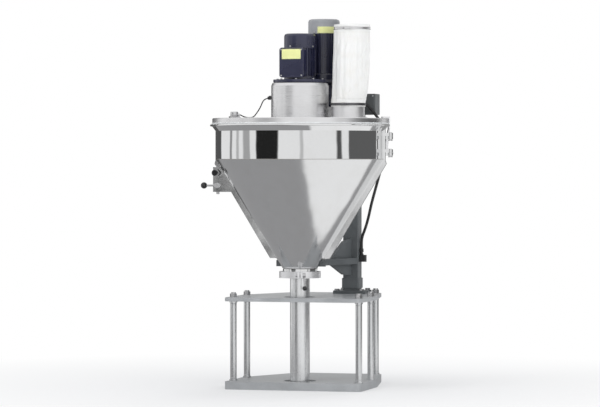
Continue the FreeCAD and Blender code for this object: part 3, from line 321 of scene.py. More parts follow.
@dataclass(frozen=True)
class Paint(Finish):
    """Sprayed or powder-coated metal: orange peel, faint mottling, dust on upward faces, rubbed chips."""

    peel: float = 0.00005
    peel_scale: float = 650.0
    chips: float = 0.35
    under: Colour = (0.35, 0.35, 0.36)
    dust: float = 0.12
    coat: float = 0.0

    def shade(self, graph: Graph, shader: Node, place: Socket) -> None:
        """Paint with wear and dust."""
        mottle = graph.noise(place, 11.0, 4.0)
        low, high = (tuple(min(c * f, 1.0) for c in self.colour) for f in (0.86, 1.12))
        colour = graph.mix(graph.span(mottle, 0.3, 0.7, 0.0, 1.0), low, high)
        chip = graph.times(graph.span(graph.noise(place, 95.0, 6.0, 0.7), 0.70, 0.73, 0.0, 1.0),
                          graph.span(graph.noise(place, 16.0, 2.0), 0.5, 0.62, 0.0, self.chips))
        colour = graph.mix(chip, colour, self.under)
        facing = graph.split(graph.add("ShaderNodeNewGeometry").outputs["Normal"]).outputs[2]
        settled = graph.times(graph.span(facing, 0.5, 0.95, 0.0, self.dust),
                             graph.span(graph.noise(place, 45.0, 4.0), 0.3, 0.7, 0.4, 1.0))
        colour = graph.mix(settled, colour, tone(205, 203, 198))
        rough = graph.plus(graph.span(mottle, 0.3, 0.7, self.roughness - 0.05, self.roughness + 0.07),
                           graph.times(settled, 0.9), clamp=True)
        self.wire(graph, shader, colour, rough)
        shader.inputs["Coat Weight"].default_value = self.coat
        shader.inputs["Coat Roughness"].default_value = 0.12
        peel = self.relief(graph, shader, graph.noise(place, self.peel_scale, 2.0), self.peel)
        self.relief(graph, shader, graph.math("SUBTRACT", 1.0, chip), 0.00012, 0.6, peel)


@dataclass(frozen=True)
class Polymer(Finish):
    """Moulded plastic: fine texture, slight handling gloss."""

    texture: float = 0.00002
    texture_scale: float = 1500.0
    coat: float = 0.0

    def shade(self, graph: Graph, shader: Node, place: Socket) -> None:
        """Plastic with rubbed areas."""
        handled = graph.noise(place, 30.0, 4.0)
        dull = tuple(min(c * 1.25 + 0.004, 1.0) for c in self.colour)
        colour = graph.mix(graph.span(handled, 0.4, 0.7, 0.0, 0.7), self.colour, dull)
        rough = graph.span(handled, 0.3, 0.7, self.roughness - 0.08, self.roughness + 0.08)
        self.wire(graph, shader, colour, rough)
        shader.inputs["Coat Weight"].default_value = self.coat
        self.relief(graph, shader, graph.noise(place, self.texture_scale, 2.0), self.texture)


@dataclass(frozen=True)
class Jacket(Finish):
    """Cable jacket: faint drawn lines, powder caught on it, softly glossy."""

    def shade(self, graph: Graph, shader: Node, place: Socket) -> None:
        """Extruded plastic over the cores."""
        dusty = graph.noise(place, 38.0, 5.0)
        colour = graph.mix(graph.span(dusty, 0.5, 0.8, 0.0, 0.3), self.colour, tone(120, 119, 116))
        rough = graph.span(dusty, 0.3, 0.7, self.roughness - 0.06, self.roughness + 0.12)
        self.wire(graph, shader, colour, rough)
        self.relief(graph, shader, graph.noise(place, 1200.0, 2.0), 0.00002)


@dataclass(frozen=True)
class Weave(Finish):
    """Plain-woven filter cloth on the piece's own UV map, which is in metres."""

    pitch: float = 0.0011
    map_name: str = "cloth"

    def shade(self, graph: Graph, shader: Node, place: Socket) -> None:
        """Warp and weft threads, with powder in patches."""
        flat = graph.add("ShaderNodeUVMap", uv_map=self.map_name).outputs[0]
        parts = graph.split(flat)
        turn = FULL_TURN / self.pitch
        warp = graph.math("SINE", graph.times(parts.outputs[0], turn))
        weft = graph.math("SINE", graph.times(parts.outputs[1], turn))
        over = graph.times(warp, weft)
        thread = graph.span(over, -1.0, 1.0, 0.0, 1.0)
        slub = graph.noise(graph.stretch(flat, 35.0, 900.0, 1.0), 1.0, 2.0)
        powder = graph.noise(place, 24.0, 4.0)
        shadow = tuple(c * 0.82 for c in self.colour)
        # Painted shade: the low points of the weave, between the threads, are darkened towards this colour.
        colour = graph.mix(graph.span(thread, 0.0, 0.6, 0.35, 0.0), self.colour, shadow)
        colour = graph.mix(graph.span(powder, 0.45, 0.75, 0.0, 0.35), colour, tone(236, 232, 222))
        # The slubs take the same darker colour as a tone of the yarn.
        colour = graph.mix(graph.span(slub, 0.6, 0.8, 0.0, 0.25), colour, shadow)
        rough = graph.span(powder, 0.3, 0.7, self.roughness - 0.05, self.roughness + 0.05)
        self.wire(graph, shader, colour, rough)
        shader.inputs["Sheen Weight"].default_value = 0.25
        shader.inputs["Sheen Roughness"].default_value = 0.5
        base = self.relief(graph, shader, thread, 0.00012, 0.6)
        self.relief(graph, shader, slub, 0.00006, 0.5, base)


PLATE_PAINT = Paint("stand_enamel", (0.37, 0.38, 0.39), 0.38, dust=0.06, coat=0.2)
POST_STEEL = Steel("turned_post", (0.66, 0.67, 0.68), 0.17, Grain.LEVEL, 0.05, 0.05)
FASTENER = Steel("stainless_fastener", (0.60, 0.60, 0.61), 0.24, Grain.PLAIN, 0.05, 0.08)
HOPPER = HopperSteel("hopper_sheet", (0.76, 0.765, 0.77), 0.11, Grain.PLAIN, 0.03, 0.04,
                     grain_depth=0.0000015, waviness=0.0020, band_roughness=0.03)
POLISHED = Steel("polished_steel", (0.76, 0.765, 0.77), 0.16, Grain.PLAIN, 0.05, 0.06, grain_depth=0.000004)
TUBE = Steel("tube_polish", (0.80, 0.81, 0.82), 0.24, Grain.UPRIGHT, 0.06, 0.05)
COLLAR = Steel("collar_satin", (0.86, 0.86, 0.87), 0.42, Grain.LEVEL, 0.06, 0.05)
LID_STEEL = Steel("lid_satin", (0.80, 0.80, 0.81), 0.30, Grain.DISC, 0.07, 0.06)
SATIN = Steel("satin_sheet", (0.68, 0.685, 0.69), 0.30, Grain.PLAIN, 0.06, 0.07)
DRUM = Steel("drum_satin", (0.78, 0.78, 0.79), 0.30, Grain.LEVEL, 0.07, 0.05)
WELD = Steel("weld_bead", (0.50, 0.49, 0.47), 0.34, Grain.PLAIN, 0.08, 0.1, stain=(0.35, 0.27, 0.2),
             stain_share=0.45)
GEAR = Steel("oiled_gear", (0.36, 0.35, 0.34), 0.28, Grain.UPRIGHT, 0.06, 0.1, stain=(0.1, 0.07, 0.03),
             stain_share=0.4)
BEARING = Steel("ground_steel", (0.60, 0.60, 0.60), 0.15, Grain.LEVEL, 0.04, 0.05)
SENSOR_STEEL = Steel("probe_steel", (0.66, 0.66, 0.67), 0.18, Grain.LEVEL, 0.05, 0.05)
STRAP = Steel("dark_strap", (0.16, 0.16, 0.17), 0.34, Grain.LEVEL, 0.07, 0.08)
BRIGHT_STRAP = Steel("bright_strap", (0.74, 0.74, 0.75), 0.20, Grain.LEVEL, 0.05, 0.06)
COLUMN_PAINT = Paint("column_powder_coat", tone(92, 96, 98), 0.46, peel=0.00009, peel_scale=420.0)
MOTOR_PAINT = Paint("motor_enamel", tone(40, 42, 66), 0.28, peel=0.00006, coat=0.35, dust=0.2)
COVER_PAINT = Paint("cover_enamel", tone(158, 160, 164), 0.34, peel=0.00006, coat=0.2, dust=0.2)
BOX_PAINT = Paint("box_enamel", tone(92, 95, 96), 0.42)
YELLOW = Paint("blank_plate", tone(238, 240, 168), 0.42, peel=0.00002, chips=0.15, dust=0.0)
KNOB = Polymer("phenolic_knob", tone(22, 22, 24), 0.2, coat=0.4)
NYLON = Polymer("black_nylon", tone(38, 38, 40), 0.5)
PAD = Polymer("guide_plastic", tone(232, 228, 214), 0.45)
SILICONE = Polymer("white_silicone", tone(228, 230, 230), 0.5, texture=0.00003)
ELASTOMER = Polymer("coupling_star", tone(170, 42, 36), 0.5)
RUBBER = Polymer("nitrile", tone(40, 40, 41), 0.6)
LEAD = Jacket("thin_lead", tone(30, 30, 31), 0.42)
CABLE = Jacket("motor_cable_jacket", tone(34, 34, 35), 0.46)
CLOTH = Weave("sleeve_cloth", tone(247, 247, 245), 0.82)
THREAD = Polymer("sewing_thread", tone(214, 214, 208), 0.8, texture=0.00005, texture_scale=3000.0)

SLOT_FINISH: dict[str, Finish] = {
    "plate_paint": PLATE_PAINT, "post_steel": POST_STEEL, "fastener_steel": FASTENER,
    "column_paint": COLUMN_PAINT, "polymer_pad": PAD, "polished_steel": POLISHED, "satin_steel": SATIN,
    "mirror_lid": LID_STEEL,
    "silicone": SILICONE, "black_knob": KNOB, "drum_steel": DRUM, "motor_paint": MOTOR_PAINT,
    "cover_paint": COVER_PAINT, "plate_yellow": YELLOW, "gear_steel": GEAR, "elastomer": ELASTOMER,
    "bearing_steel": BEARING, "seal_rubber": RUBBER, "cloth": CLOTH, "strap_steel": STRAP,
    "sensor_steel": SENSOR_STEEL, "fitting_plastic": NYLON, "box_paint": BOX_PAINT, "lead_jacket": LEAD,
    "cable_jacket": CABLE,
}

NODE_FINISH: dict[str, Finish] = {
    "front_shell": HOPPER, "rear_shell": HOPPER,
    "filling_tube": TUBE, "inlet_spigot": COLLAR, "tube_clamp": POLISHED, "lid_latch_bases": POLISHED,
    "auger_shaft": POLISHED, "auger_screw": POLISHED, "agitator_shaft": POLISHED, "agitator_frame": POLISHED,
    "latch_spindle": POLISHED, "lid_latch_right": POLISHED, "lid_latch_left": POLISHED,
}


# ---------------------------------------------------------------- mesh helpers
def circle(radius: float, z: float, count: int, flats: int = 0) -> list[Vector]:
    """Ring of points, on a circle or on a regular outline with so many flats.

    Args:
        radius: circle radius, or half the width across flats.
        z: height of the ring.
        count: number of points.
        flats: number of flat sides, 0 for a circle.

    Returns:
        The points, anticlockwise.
    """
    points = []
    for i in range(count):
        a = FULL_TURN * i / count
        r = radius
        if flats:
            wedge = FULL_TURN / flats
            r = radius / math.cos((a % wedge) - wedge / 2.0)
        points.append(Vector((r * math.cos(a), r * math.sin(a), z)))
    return points


def loft(rings: Sequence[Sequence[Vector]], name: str, closed: bool = False) -> Mesh:
    """Skin over rings of equal count.

    Args:
        rings: the rings, in order.
        name: the mesh's name.
        closed: join the last ring to the first; otherwise both ends are capped.

    Returns:
        The mesh, faces outwards.
    """
    bm = bmesh.new()
    made = [[bm.verts.new(p) for p in points] for points in rings]
    pairs = list(zip(made, made[1:])) + ([(made[-1], made[0])] if closed else [])
    for low, high in pairs:
        for i in range(len(low)):
            j = (i + 1) % len(low)
            bm.faces.new((low[i], low[j], high[j], high[i]))
    if not closed:
        bm.faces.new(list(reversed(made[0])))
        bm.faces.new(made[-1])
    bmesh.ops.recalc_face_normals(bm, faces=bm.faces)
    mesh = bpy.data.meshes.new(name)
    bm.to_mesh(mesh)
    bm.free()
    return mesh


def linked(name: str, data: bpy.types.ID) -> Object:
    """New object of some data, in the scene."""
    made = bpy.data.objects.new(name, data)
    bpy.context.scene.collection.objects.link(made)
    return made


def template(mesh: Mesh) -> Object:
    """Object that a tree copies; it is removed once the trees have run."""
    return linked(mesh.name, mesh)


def unit(value: float) -> float:
    """Value held between 0 and 1."""
    return min(max(value, 0.0), 1.0)


def discard(*objects: Object) -> None:
    """Remove helper objects."""
    for made in objects:
        bpy.data.objects.remove(made)


def path_object(points: Sequence[Vector], closed: bool = False) -> Object:
    """Curve object of straight runs between points."""
    curve = bpy.data.curves.new("path", "CURVE")
    curve.dimensions = "3D"
    spline = curve.splines.new("POLY")
    spline.points.add(len(points) - 1)
    for target, point in zip(spline.points, points):
        target.co = (*point, 1.0)
    spline.use_cyclic_u = closed
    return linked("path", curve)


def arc(radius: float, z: float, start: float, end: float, count: int = 96,
        centre: Vector = Vector()) -> list[Vector]:
    """Points along a level arc, angles in degrees."""
    return [polar(radius, start + (end - start) * i / (count - 1), z, centre) for i in range(count)]


# ---------------------------------------------------------------- fastener patterns
class HeadForm(Enum):
    """Head form of a fastener."""

    SOCKET = "socket"
    RIVET = "rivet"


def fastener(form: HeadForm, radius: float, height: float) -> Mesh:
    """Mesh of a fastener head that stands on z = 0.

    Args:
        form: head form.
        radius: head radius, or half the width across flats.
        height: head height.

    Returns:
        The head's mesh.
    """
    count = 24
    foot = [circle(radius, -0.3 * MM, count)]
    if form is HeadForm.RIVET:
        dome = [circle(radius * math.cos(a), height * math.sin(a), count) for a in (0.25, 0.6, 0.95, 1.3)]
        return loft(foot + dome, "rivet_head")
    edge = 0.12 * radius
    body = [circle(radius, height - edge, count), circle(radius - edge, height, count)]
    recess = [circle(radius * 0.5, height, count, 6), circle(radius * 0.48, height * 0.45, count, 6)]
    return loft(foot + body + recess, "socket_head")


class Tree(Graph):
    """Geometry Nodes group with named inputs that ends in one plain mesh."""

    def __init__(self, name: str) -> None:
        """Start the group with a geometry input and output.

        Args:
            name: the group's name.
        """
        super().__init__(bpy.data.node_groups.new(name, "GeometryNodeTree"))
        face = self.tree.interface
        face.new_socket("Geometry", in_out="OUTPUT", socket_type="NodeSocketGeometry")
        face.new_socket("Geometry", in_out="INPUT", socket_type="NodeSocketGeometry")
        self.start = self.tree.nodes.new("NodeGroupInput")
        self.keys: dict[str, str] = {}
        self.take("Material", "NodeSocketMaterial")

    def take(self, name: str, kind: str, value=None) -> Socket:
        """Add a named input.

        Args:
            name: label of the input.
            kind: socket type.
            value: default value.

        Returns:
            The socket inside the group.
        """
        made = self.tree.interface.new_socket(name, in_out="INPUT", socket_type=kind)
        if value is not None:
            made.default_value = value
        self.keys[name] = made.identifier
        return self.start.outputs[name]

    def resampled(self, step: Socket) -> Node:
        """The path that goes in, cut into even steps."""
        fine = self.add("GeometryNodeResampleCurve", {"Curve": self.start.outputs["Geometry"]})
        fine.mode = "LENGTH"
        self.tree.links.new(step, fine.inputs["Length"])
        return fine

    def place_copies(self, part: Socket, points, rotation) -> None:
        """End in copies of a template on points."""
        source = self.add("GeometryNodeObjectInfo", {"Object": part})
        placed = {"Points": points, "Instance": source.outputs["Geometry"], "Rotation": rotation}
        self.close(self.add("GeometryNodeInstanceOnPoints", placed), smooth=False)

    def close(self, geometry, smooth: bool = True) -> None:
        """End in real, shaded, dressed geometry."""
        real = self.add("GeometryNodeRealizeInstances", {"Geometry": geometry})
        shaded = self.add("GeometryNodeSetShadeSmooth", {"Geometry": real, "Shade Smooth": smooth})
        material = self.start.outputs["Material"]
        dressed = self.add("GeometryNodeSetMaterial", {"Geometry": shaded, "Material": material})
        self.add("NodeGroupOutput", {"Geometry": dressed})

    def run(self, host: Object, finish: Finish, **values) -> Mesh:
        """Run the tree on an object and remove that object.

        Args:
            host: object whose geometry goes in.
            finish: finish of the result.
            values: inputs by name, with underscores for spaces.

        Returns:
            The plain mesh.
        """
        modifier = host.modifiers.new(self.tree.name, "NODES")
        modifier.node_group = self.tree
        modifier[self.keys["Material"]] = finish.material()
        for name, value in values.items():
            modifier[self.keys[name.replace("_", " ")]] = value
        host.update_tag()
        depsgraph = bpy.context.evaluated_depsgraph_get()
        mesh = bpy.data.meshes.new_from_object(host.evaluated_get(depsgraph), depsgraph=depsgraph)
        host.modifiers.remove(modifier)
        bpy.data.objects.remove(host)
        return mesh


class SpotTree(Tree):
    """Copies of one template on every point, its Z along the point's aim and rolled at random."""

    def __init__(self) -> None:
        """Build the group."""
        super().__init__("fasteners_on_spots")
        part = self.take("Fastener", "NodeSocketObject")
        roll = self.take("Roll", "NodeSocketFloat", 1.0)
        seed = self.take("Seed", "NodeSocketInt", 7)
        aim = self.add("GeometryNodeInputNamedAttribute", {"Name": "aim"}, data_type="FLOAT_VECTOR")
        stand = self.add("FunctionNodeAlignRotationToVector", {"Vector": aim}, axis="Z")
        angle = self.add("FunctionNodeRandomValue", {2: 0.0, 3: 6.2832, "Seed": seed}, data_type="FLOAT")
        share = self.times(angle.outputs[1], roll)
        spin = self.add("FunctionNodeAxisAngleToRotation", {"Axis": (0.0, 0.0, 1.0), "Angle": share})
        turned = self.add("FunctionNodeRotateRotation", {"Rotation": stand, "Rotate By": spin},
                          rotation_space="LOCAL")
        self.place_copies(part, self.start.outputs["Geometry"], turned)


class RingTree(Tree):
    """Copies of one template on a circle, each turned with its place on it."""

    def __init__(self) -> None:
        """Build the group."""
        super().__init__("ring_of_parts")
        part = self.take("Part", "NodeSocketObject")
        count = self.take("Count", "NodeSocketInt", 8)
        radius = self.take("Radius", "NodeSocketFloat", 0.05)
        start = self.take("Start", "NodeSocketFloat", 0.0)
        centre = self.take("Centre", "NodeSocketVector")
        scatter = self.take("Scatter", "NodeSocketFloat", 0.0)
        seed = self.take("Seed", "NodeSocketInt", 3)
        index = self.add("GeometryNodeInputIndex").outputs[0]
        step = self.math("DIVIDE", FULL_TURN, count)
        angle = self.plus(self.times(index, step), start)
        across, up = (self.times(self.math(kind, angle), radius) for kind in ("COSINE", "SINE"))
        spot = self.add("ShaderNodeCombineXYZ", {0: across, 1: up})
        place = self.vector("ADD", spot, centre)
        points = self.add("GeometryNodePoints", {"Count": count, "Position": place})
        loose = self.add("FunctionNodeRandomValue", {2: -1.0, 3: 1.0, "Seed": seed}, data_type="FLOAT")
        turn = self.plus(angle, self.times(loose.outputs[1], scatter))
        spin = self.add("FunctionNodeAxisAngleToRotation", {"Axis": (0.0, 0.0, 1.0), "Angle": turn})
        self.place_copies(part, points, spin)


class BeadTree(Tree):
    """Weld bead with overlapping ripples along a path."""

    def __init__(self) -> None:
        """Build the group."""
        super().__init__("weld_bead")
        radius = self.take("Radius", "NodeSocketFloat", 0.002)
        ripple = self.take("Ripple", "NodeSocketFloat", 0.004)
        uneven = self.take("Uneven", "NodeSocketFloat", 0.12)
        seed = self.take("Seed", "NodeSocketFloat", 5.0)
        step = self.math("DIVIDE", ripple, 3.0)
        fine = self.resampled(step)
        along = self.add("GeometryNodeSplineParameter").outputs["Length"]
        phase = self.math("FRACT", self.math("DIVIDE", along, ripple))
        where = self.add("GeometryNodeInputPosition").outputs[0]
        shift = self.vector("ADD", where, seed)
        waver = self.add("ShaderNodeTexNoise", {"Vector": shift, "Scale": 60.0}).outputs[0]
        size = self.plus(self.times(phase, 0.18), self.times(waver, uneven))
        size = self.plus(size, 0.85)
        profile = self.add("GeometryNodeCurvePrimitiveCircle", {"Resolution": 8, "Radius": radius})
        bead = self.add("GeometryNodeCurveToMesh", {"Curve": fine, "Profile Curve": profile.outputs[0],
                                                    "Scale": size, "Fill Caps": True})
        self.close(bead)


class DashTree(Tree):
    """Copies of one template along a path, X along it and Z off the surface it follows."""

    def __init__(self) -> None:
        """Build the group."""
        super().__init__("dashes_on_path")
        part = self.take("Dash", "NodeSocketObject")
        pitch = self.take("Pitch", "NodeSocketFloat", 0.003)
        centre = self.take("Centre", "NodeSocketVector")
        fine = self.resampled(pitch)
        where = self.add("GeometryNodeInputPosition").outputs[0]
        flat = self.vector("MULTIPLY", self.vector("SUBTRACT", where, centre), (1.0, 1.0, 0.0))
        along = self.add("GeometryNodeInputTangent").outputs[0]
        lie = self.add("FunctionNodeAxesToRotation", {"Primary Axis": along, "Secondary Axis": flat},
                       primary_axis="X", secondary_axis="Z")
        self.place_copies(part, fine, lie)


class ThreadTree(Tree):
    """Screw thread ridges round an upright stud."""

    def __init__(self) -> None:
        """Build the group."""
        super().__init__("screw_thread")
        radius = self.take("Radius", "NodeSocketFloat", 0.008)
        pitch = self.take("Pitch", "NodeSocketFloat", 0.0015)
        length = self.take("Length", "NodeSocketFloat", 0.01)
        base = self.take("Base", "NodeSocketVector")
        turns = self.math("DIVIDE", length, pitch)
        spiral = self.add("GeometryNodeCurveSpiral", {"Resolution": 24, "Rotations": turns, "Height": length,
                                                      "Start Radius": radius, "End Radius": radius})
        profile = self.add("GeometryNodeCurvePrimitiveCircle",
                           {"Resolution": 4, "Radius": self.times(pitch, 0.52)})
        ridge = self.add("GeometryNodeCurveToMesh", {"Curve": spiral, "Profile Curve": profile.outputs[0],
                                                     "Fill Caps": True})
        placed = self.add("GeometryNodeTransform", {"Geometry": ridge, "Translation": base})
        self.close(placed)


@dataclass
class Patterns:
    """The trees that every sub-assembly shares."""

    spots: SpotTree = field(default_factory=SpotTree)
    ring: RingTree = field(default_factory=RingTree)
    bead: BeadTree = field(default_factory=BeadTree)
    dash: DashTree = field(default_factory=DashTree)
    thread: ThreadTree = field(default_factory=ThreadTree)


def spot_host(spots: Iterable[tuple[Vector, Vector]]) -> Object:
    """Points with an aim each, for the spot tree.

    Args:
        spots: place and aim of each fastener.

    Returns:
        A helper object that the tree uses up.
    """
    spots = list(spots)
    mesh = bpy.data.meshes.new("spots")
    mesh.from_pydata([tuple(place) for place, _ in spots], [], [])
    aims = mesh.attributes.new("aim", "FLOAT_VECTOR", "POINT")
    for entry, (_, aim) in zip(aims.data, spots):
        entry.vector = aim
    return template(mesh)


# ---------------------------------------------------------------- base of the sub-assemblies
@dataclass
class SubAssembly:
    """Base class: keeps pieces on a body and reports them."""

    patterns: Patterns
    body: str = "head"

    def keep(self, mesh: Mesh, name: str, finish: Finish, slot: str, body: str | None = None,
             replaces: Sequence[str] = ()) -> Object:
        """Make a mesh a piece of the filler.

        Args:
            mesh: finished mesh, in place.
            name: the piece's name.
            finish: its finish.
            slot: not used; names the material slot of the record.
            body: the body that it rides on, or the sub-assembly's own.
            replaces: nodes that it stands for.

        Returns:
            The piece.
        """
        mesh.name = name
        made = linked(name, mesh)
        if not mesh.materials:
            mesh.materials.append(finish.material())
        for i in range(len(mesh.materials)):
            mesh.materials[i] = finish.material()
        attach(made, body or self.body)
        if replaces:
            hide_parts(*replaces)
        LOG.info("%s on %s: %d faces", name, body or self.body, len(mesh.polygons))
        return made

    def keep_all(self, meshes: Sequence[Mesh], name: str, finish: Finish, slot: str,
                 body: str | None = None, replaces: Sequence[str] = ()) -> Object:
        """Join several meshes into one piece."""
        return self.keep(joined(meshes, name), name, finish, slot, body, replaces)

    def bead(self, points: Sequence[Vector], name: str, radius: float, body: str | None = None,
             closed: bool = False, slot: str = "satin_steel", finish: Finish = WELD) -> Object:
        """Weld bead along points."""
        mesh = self.patterns.bead.run(path_object(points, closed), finish, Radius=radius, Ripple=radius * 1.6)
        return self.keep(mesh, name, finish, slot, body)

    def fasteners(self, spots: Iterable[tuple[Vector, Vector]], head: Mesh, name: str,
                  slot: str = "fastener_steel", seed: int = 7) -> Object:
        """Fastener heads on spots."""
        pattern = template(head)
        mesh = self.patterns.spots.run(spot_host(spots), FASTENER, Fastener=pattern, Seed=seed)
        discard(pattern)
        return self.keep(mesh, name, FASTENER, slot)

    def thread(self, base: Vector, radius: float, pitch: float, length: float) -> Mesh:
        """Mesh of a thread that starts at a point and rises."""
        host = template(bpy.data.meshes.new("stud"))
        return self.patterns.thread.run(host, FASTENER, Radius=radius, Pitch=pitch, Length=length, Base=base)

    def build(self) -> None:
        """Make the sub-assembly's pieces."""
        raise NotImplementedError


def joined(meshes: Sequence[Mesh], name: str) -> Mesh:
    """One mesh out of several."""
    bm = bmesh.new()
    for mesh in meshes:
        bm.from_mesh(mesh)
    made = bpy.data.meshes.new(name)
    bm.to_mesh(made)
    bm.free()
    for mesh in meshes:
        bpy.data.meshes.remove(mesh)
    return made


# ---------------------------------------------------------------- sub-assemblies
@dataclass
class Stand(SubAssembly):
    """Lower frame, posts and top plate."""

    body: str = "stand"
    plan: tuple[tuple[float, float], ...] = ((-0.27, -0.12), (0.27, -0.12), (0.27, 0.15), (0.215, 0.45),
                                             (-0.125, 0.45), (-0.27, 0.15))
    posts: tuple[tuple[float, float], ...] = ((-0.249, -0.062), (0.249, -0.062), (-0.249, 0.128),
                                              (0.249, 0.128), (-0.1, 0.428), (0.196, 0.428))
    frame_height: float = 0.030
    sheet: float = 0.006
    post_radius: float = 0.0125
    plate_top: float = 0.353
    foot_half: float = 0.026

    def build(self) -> None:
        """Post grooves, stud threads, corner welds and the foot weld."""
        grooves = []
        for x, y in self.posts:
            for z in (self.frame_height + 0.0115, self.plate_top - 0.0265):
                base = Vector((x, y, z))
                grooves.append(self.turned_ring(base))
        self.keep_all(grooves, "post_rings", POST_STEEL, "post_steel")
        threads = [self.thread(Vector((x, y, 0.0105)), 0.0076, 0.0014, 0.0022) for x, y in self.posts]
        self.keep_all(threads, "stud_threads", FASTENER, "fastener_steel")
        seams = []
        for x, y in self.plan:
            inward = Vector((-x, 0.15 - y, 0.0)).normalized()
            corner = Vector((x, y, 0.0)) + inward * 0.0105
            run = [corner + UP * (0.001 + 0.0235 * i / 9) for i in range(10)]
            seams.append(self.patterns.bead.run(path_object(run), WELD, Radius=0.0016, Ripple=0.0028))
        self.keep_all(seams, "frame_corner_welds", WELD, "plate_paint")
        z, h = 0.3655, self.foot_half
        square = [COLUMN + Vector((sx * h, sy * h, z)) for sx, sy in ((-1, -1), (1, -1), (1, 1), (-1, 1))]
        points = [a.lerp(b, i / 12) for a, b in zip(square, square[1:] + square[:1]) for i in range(12)]
        self.bead(points, "column_foot_weld", 0.0021, closed=True, slot="column_paint", finish=COLUMN_PAINT)

    def turned_ring(self, base: Vector) -> Mesh:
        """Small rounded ring turned on a post beside its collar."""
        r = self.post_radius
        rings = []
        for height, grow in ((-0.0012, -0.0002), (-0.0008, 0.0006), (0.0, 0.0009), (0.0008, 0.0006),
                             (0.0012, -0.0002)):
            rings.append([p + base for p in circle(r + grow, height, 40)])
        return loft(rings, "ring")


@dataclass
class Hopper(SubAssembly):
    """Rear shell, front door and their welds."""

    junction_r: float = BAND_R
    bead_radius: float = 0.0011
    neck_bead_radius: float = 0.0015

    def build(self) -> None:
        """Seams between band and cone, and round the neck."""
        for body, start in (("head", 1.0), ("door", 181.0)):
            self.bead(arc(self.junction_r - 0.0002, JUNCTION_Z, start, start + 178.0, 200),
                      f"band_seam_{body}", self.bead_radius, body, slot="polished_steel")
        self.bead(arc(NECK_R + 0.0006, NECK_Z - 0.001, 1.5, 178.5, 60), "neck_seam", self.neck_bead_radius,
                  slot="polished_steel")


@dataclass
class Drive(SubAssembly):
    """Gear case, drum, motors and their covers."""

    motor_r: float = 0.061
    box_reach: float = 0.042
    case_ring: float = 0.104        # radius and height of the gear case's screws
    case_top: float = 1.085
    plate_ring: float = 0.088       # radius and height of the motor plate's screws
    plate_top: float = 1.190
    cover_tops: tuple[float, float] = (1.367, 1.426)
    cover_screw_drop: float = 0.050
    first_cover_screw: float = 68.0
    auger_box: tuple[float, float, float] = (-94.0, 1.196, 1.311)   # direction, bottom and top
    stirrer_box: tuple[float, float, float] = (12.0, 1.232, 1.336)
    label_thickness: float = 0.0008
    drum_seam_at: tuple[float, float] = (0.1108, 152.0)

    def build(self) -> None:
        """Case screws, drum seam, cover screws, fans and box screws."""
        spots = [(polar(self.case_ring, a, self.case_top), UP) for a in range(105, 375, 30)]
        self.fasteners(spots, fastener(HeadForm.SOCKET, 0.0035, 0.0035), "gear_case_screws")
        spots = [(polar(self.plate_ring, a, self.plate_top), UP) for a in (140, 185, 230, 275, 320, 5)]
        self.fasteners(spots, fastener(HeadForm.SOCKET, 0.0042, 0.0042), "motor_plate_screws")
        for name, centre, top in zip(("auger", "stirrer"), (Vector(), STIRRER), self.cover_tops):
            angles = [self.first_cover_screw + 90.0 * i for i in range(4)]
            ring = [(polar(self.motor_r, a, top - self.cover_screw_drop, centre), polar(1.0, a))
                    for a in angles]
            self.fasteners(ring, fastener(HeadForm.SOCKET, 0.0036, 0.0024), f"{name}_cover_screws")
            self.fan(name, centre, top)
        self.box_screws("auger", Vector(), *self.auger_box)
        self.box_screws("stirrer", STIRRER, *self.stirrer_box)
        self.plate_rivets()
        self.drum_seam()

    def fan(self, name: str, centre: Vector, top: float) -> None:
        """Radial fan seen through the cover's slots.

        Args:
            name: motor that it belongs to.
            centre: the motor's axis.
            top: height of the cover's roof.
        """
        root, half = 0.012, 0.0008
        blade = loft([[Vector((root, -half, z)), Vector((tip, -edge, z_tip)), Vector((tip, edge, z_tip)),
                       Vector((root, half, z))]
                      for z, tip, edge, z_tip in ((0.0, 0.046, 0.0012, 0.0), (0.02, 0.044, 0.0012, 0.016))],
                     "blade")
        part = template(blade)
        host = template(bpy.data.meshes.new("hub"))
        blades = self.patterns.ring.run(host, NYLON, Part=part, Count=9, Radius=0.0,
                                        Centre=(centre.x, centre.y, top - 0.030))
        discard(part)
        hub = loft([[p + centre for p in circle(r, top - 0.034 + z, 32)] for r, z in
                    ((0.047, 0.0), (0.047, 0.003), (0.014, 0.005), (0.013, 0.026), (0.010, 0.028))], "hub")
        body = "auger" if name == "auger" else "head"
        self.keep_all([blades, hub], f"{name}_fan", NYLON, "fitting_plastic", body)

    def box_screws(self, name: str, centre: Vector, direction: float, z0: float, z1: float) -> None:
        """Four screws in a terminal box's cover."""
        out = polar(1.0, direction)
        side = polar(1.0, direction + 90.0)
        face = self.motor_r + self.box_reach
        spots = [(centre + out * face + side * (s * 0.041) + UP * z, out)
                 for s in (-1, 1) for z in (z0 + 0.008, z1 - 0.008)]
        self.fasteners(spots, fastener(HeadForm.SOCKET, 0.0032, 0.002), f"{name}_box_screws")

    def plate_rivets(self) -> None:
        """Rivets at the corners of the blank plates."""
        out, side = polar(1.0, self.auger_box[0]), polar(1.0, self.auger_box[0] + 90.0)
        face = self.motor_r + self.box_reach + self.label_thickness
        low = [(out * face + side * (s * 0.0345) + UP * z, out) for s in (-1, 1) for z in (1.2705, 1.3015)]
        high = []
        for s in (-1, 1):
            angle = -66.0 + s * 29.0
            high += [(polar(self.motor_r + self.label_thickness, angle, z, STIRRER), polar(1.0, angle))
                     for z in (1.3740, 1.3930)]
        self.fasteners(low + high, fastener(HeadForm.RIVET, 0.0013, 0.0008), "plate_rivets",
                       slot="plate_yellow")

    def drum_seam(self) -> None:
        """Dressed seam weld up the back of the drum."""
        points = [polar(*self.drum_seam_at, 1.086 + 0.079 * i / 29) for i in range(30)]
        self.bead(points, "drum_seam", 0.0009, slot="drum_steel", finish=DRUM)


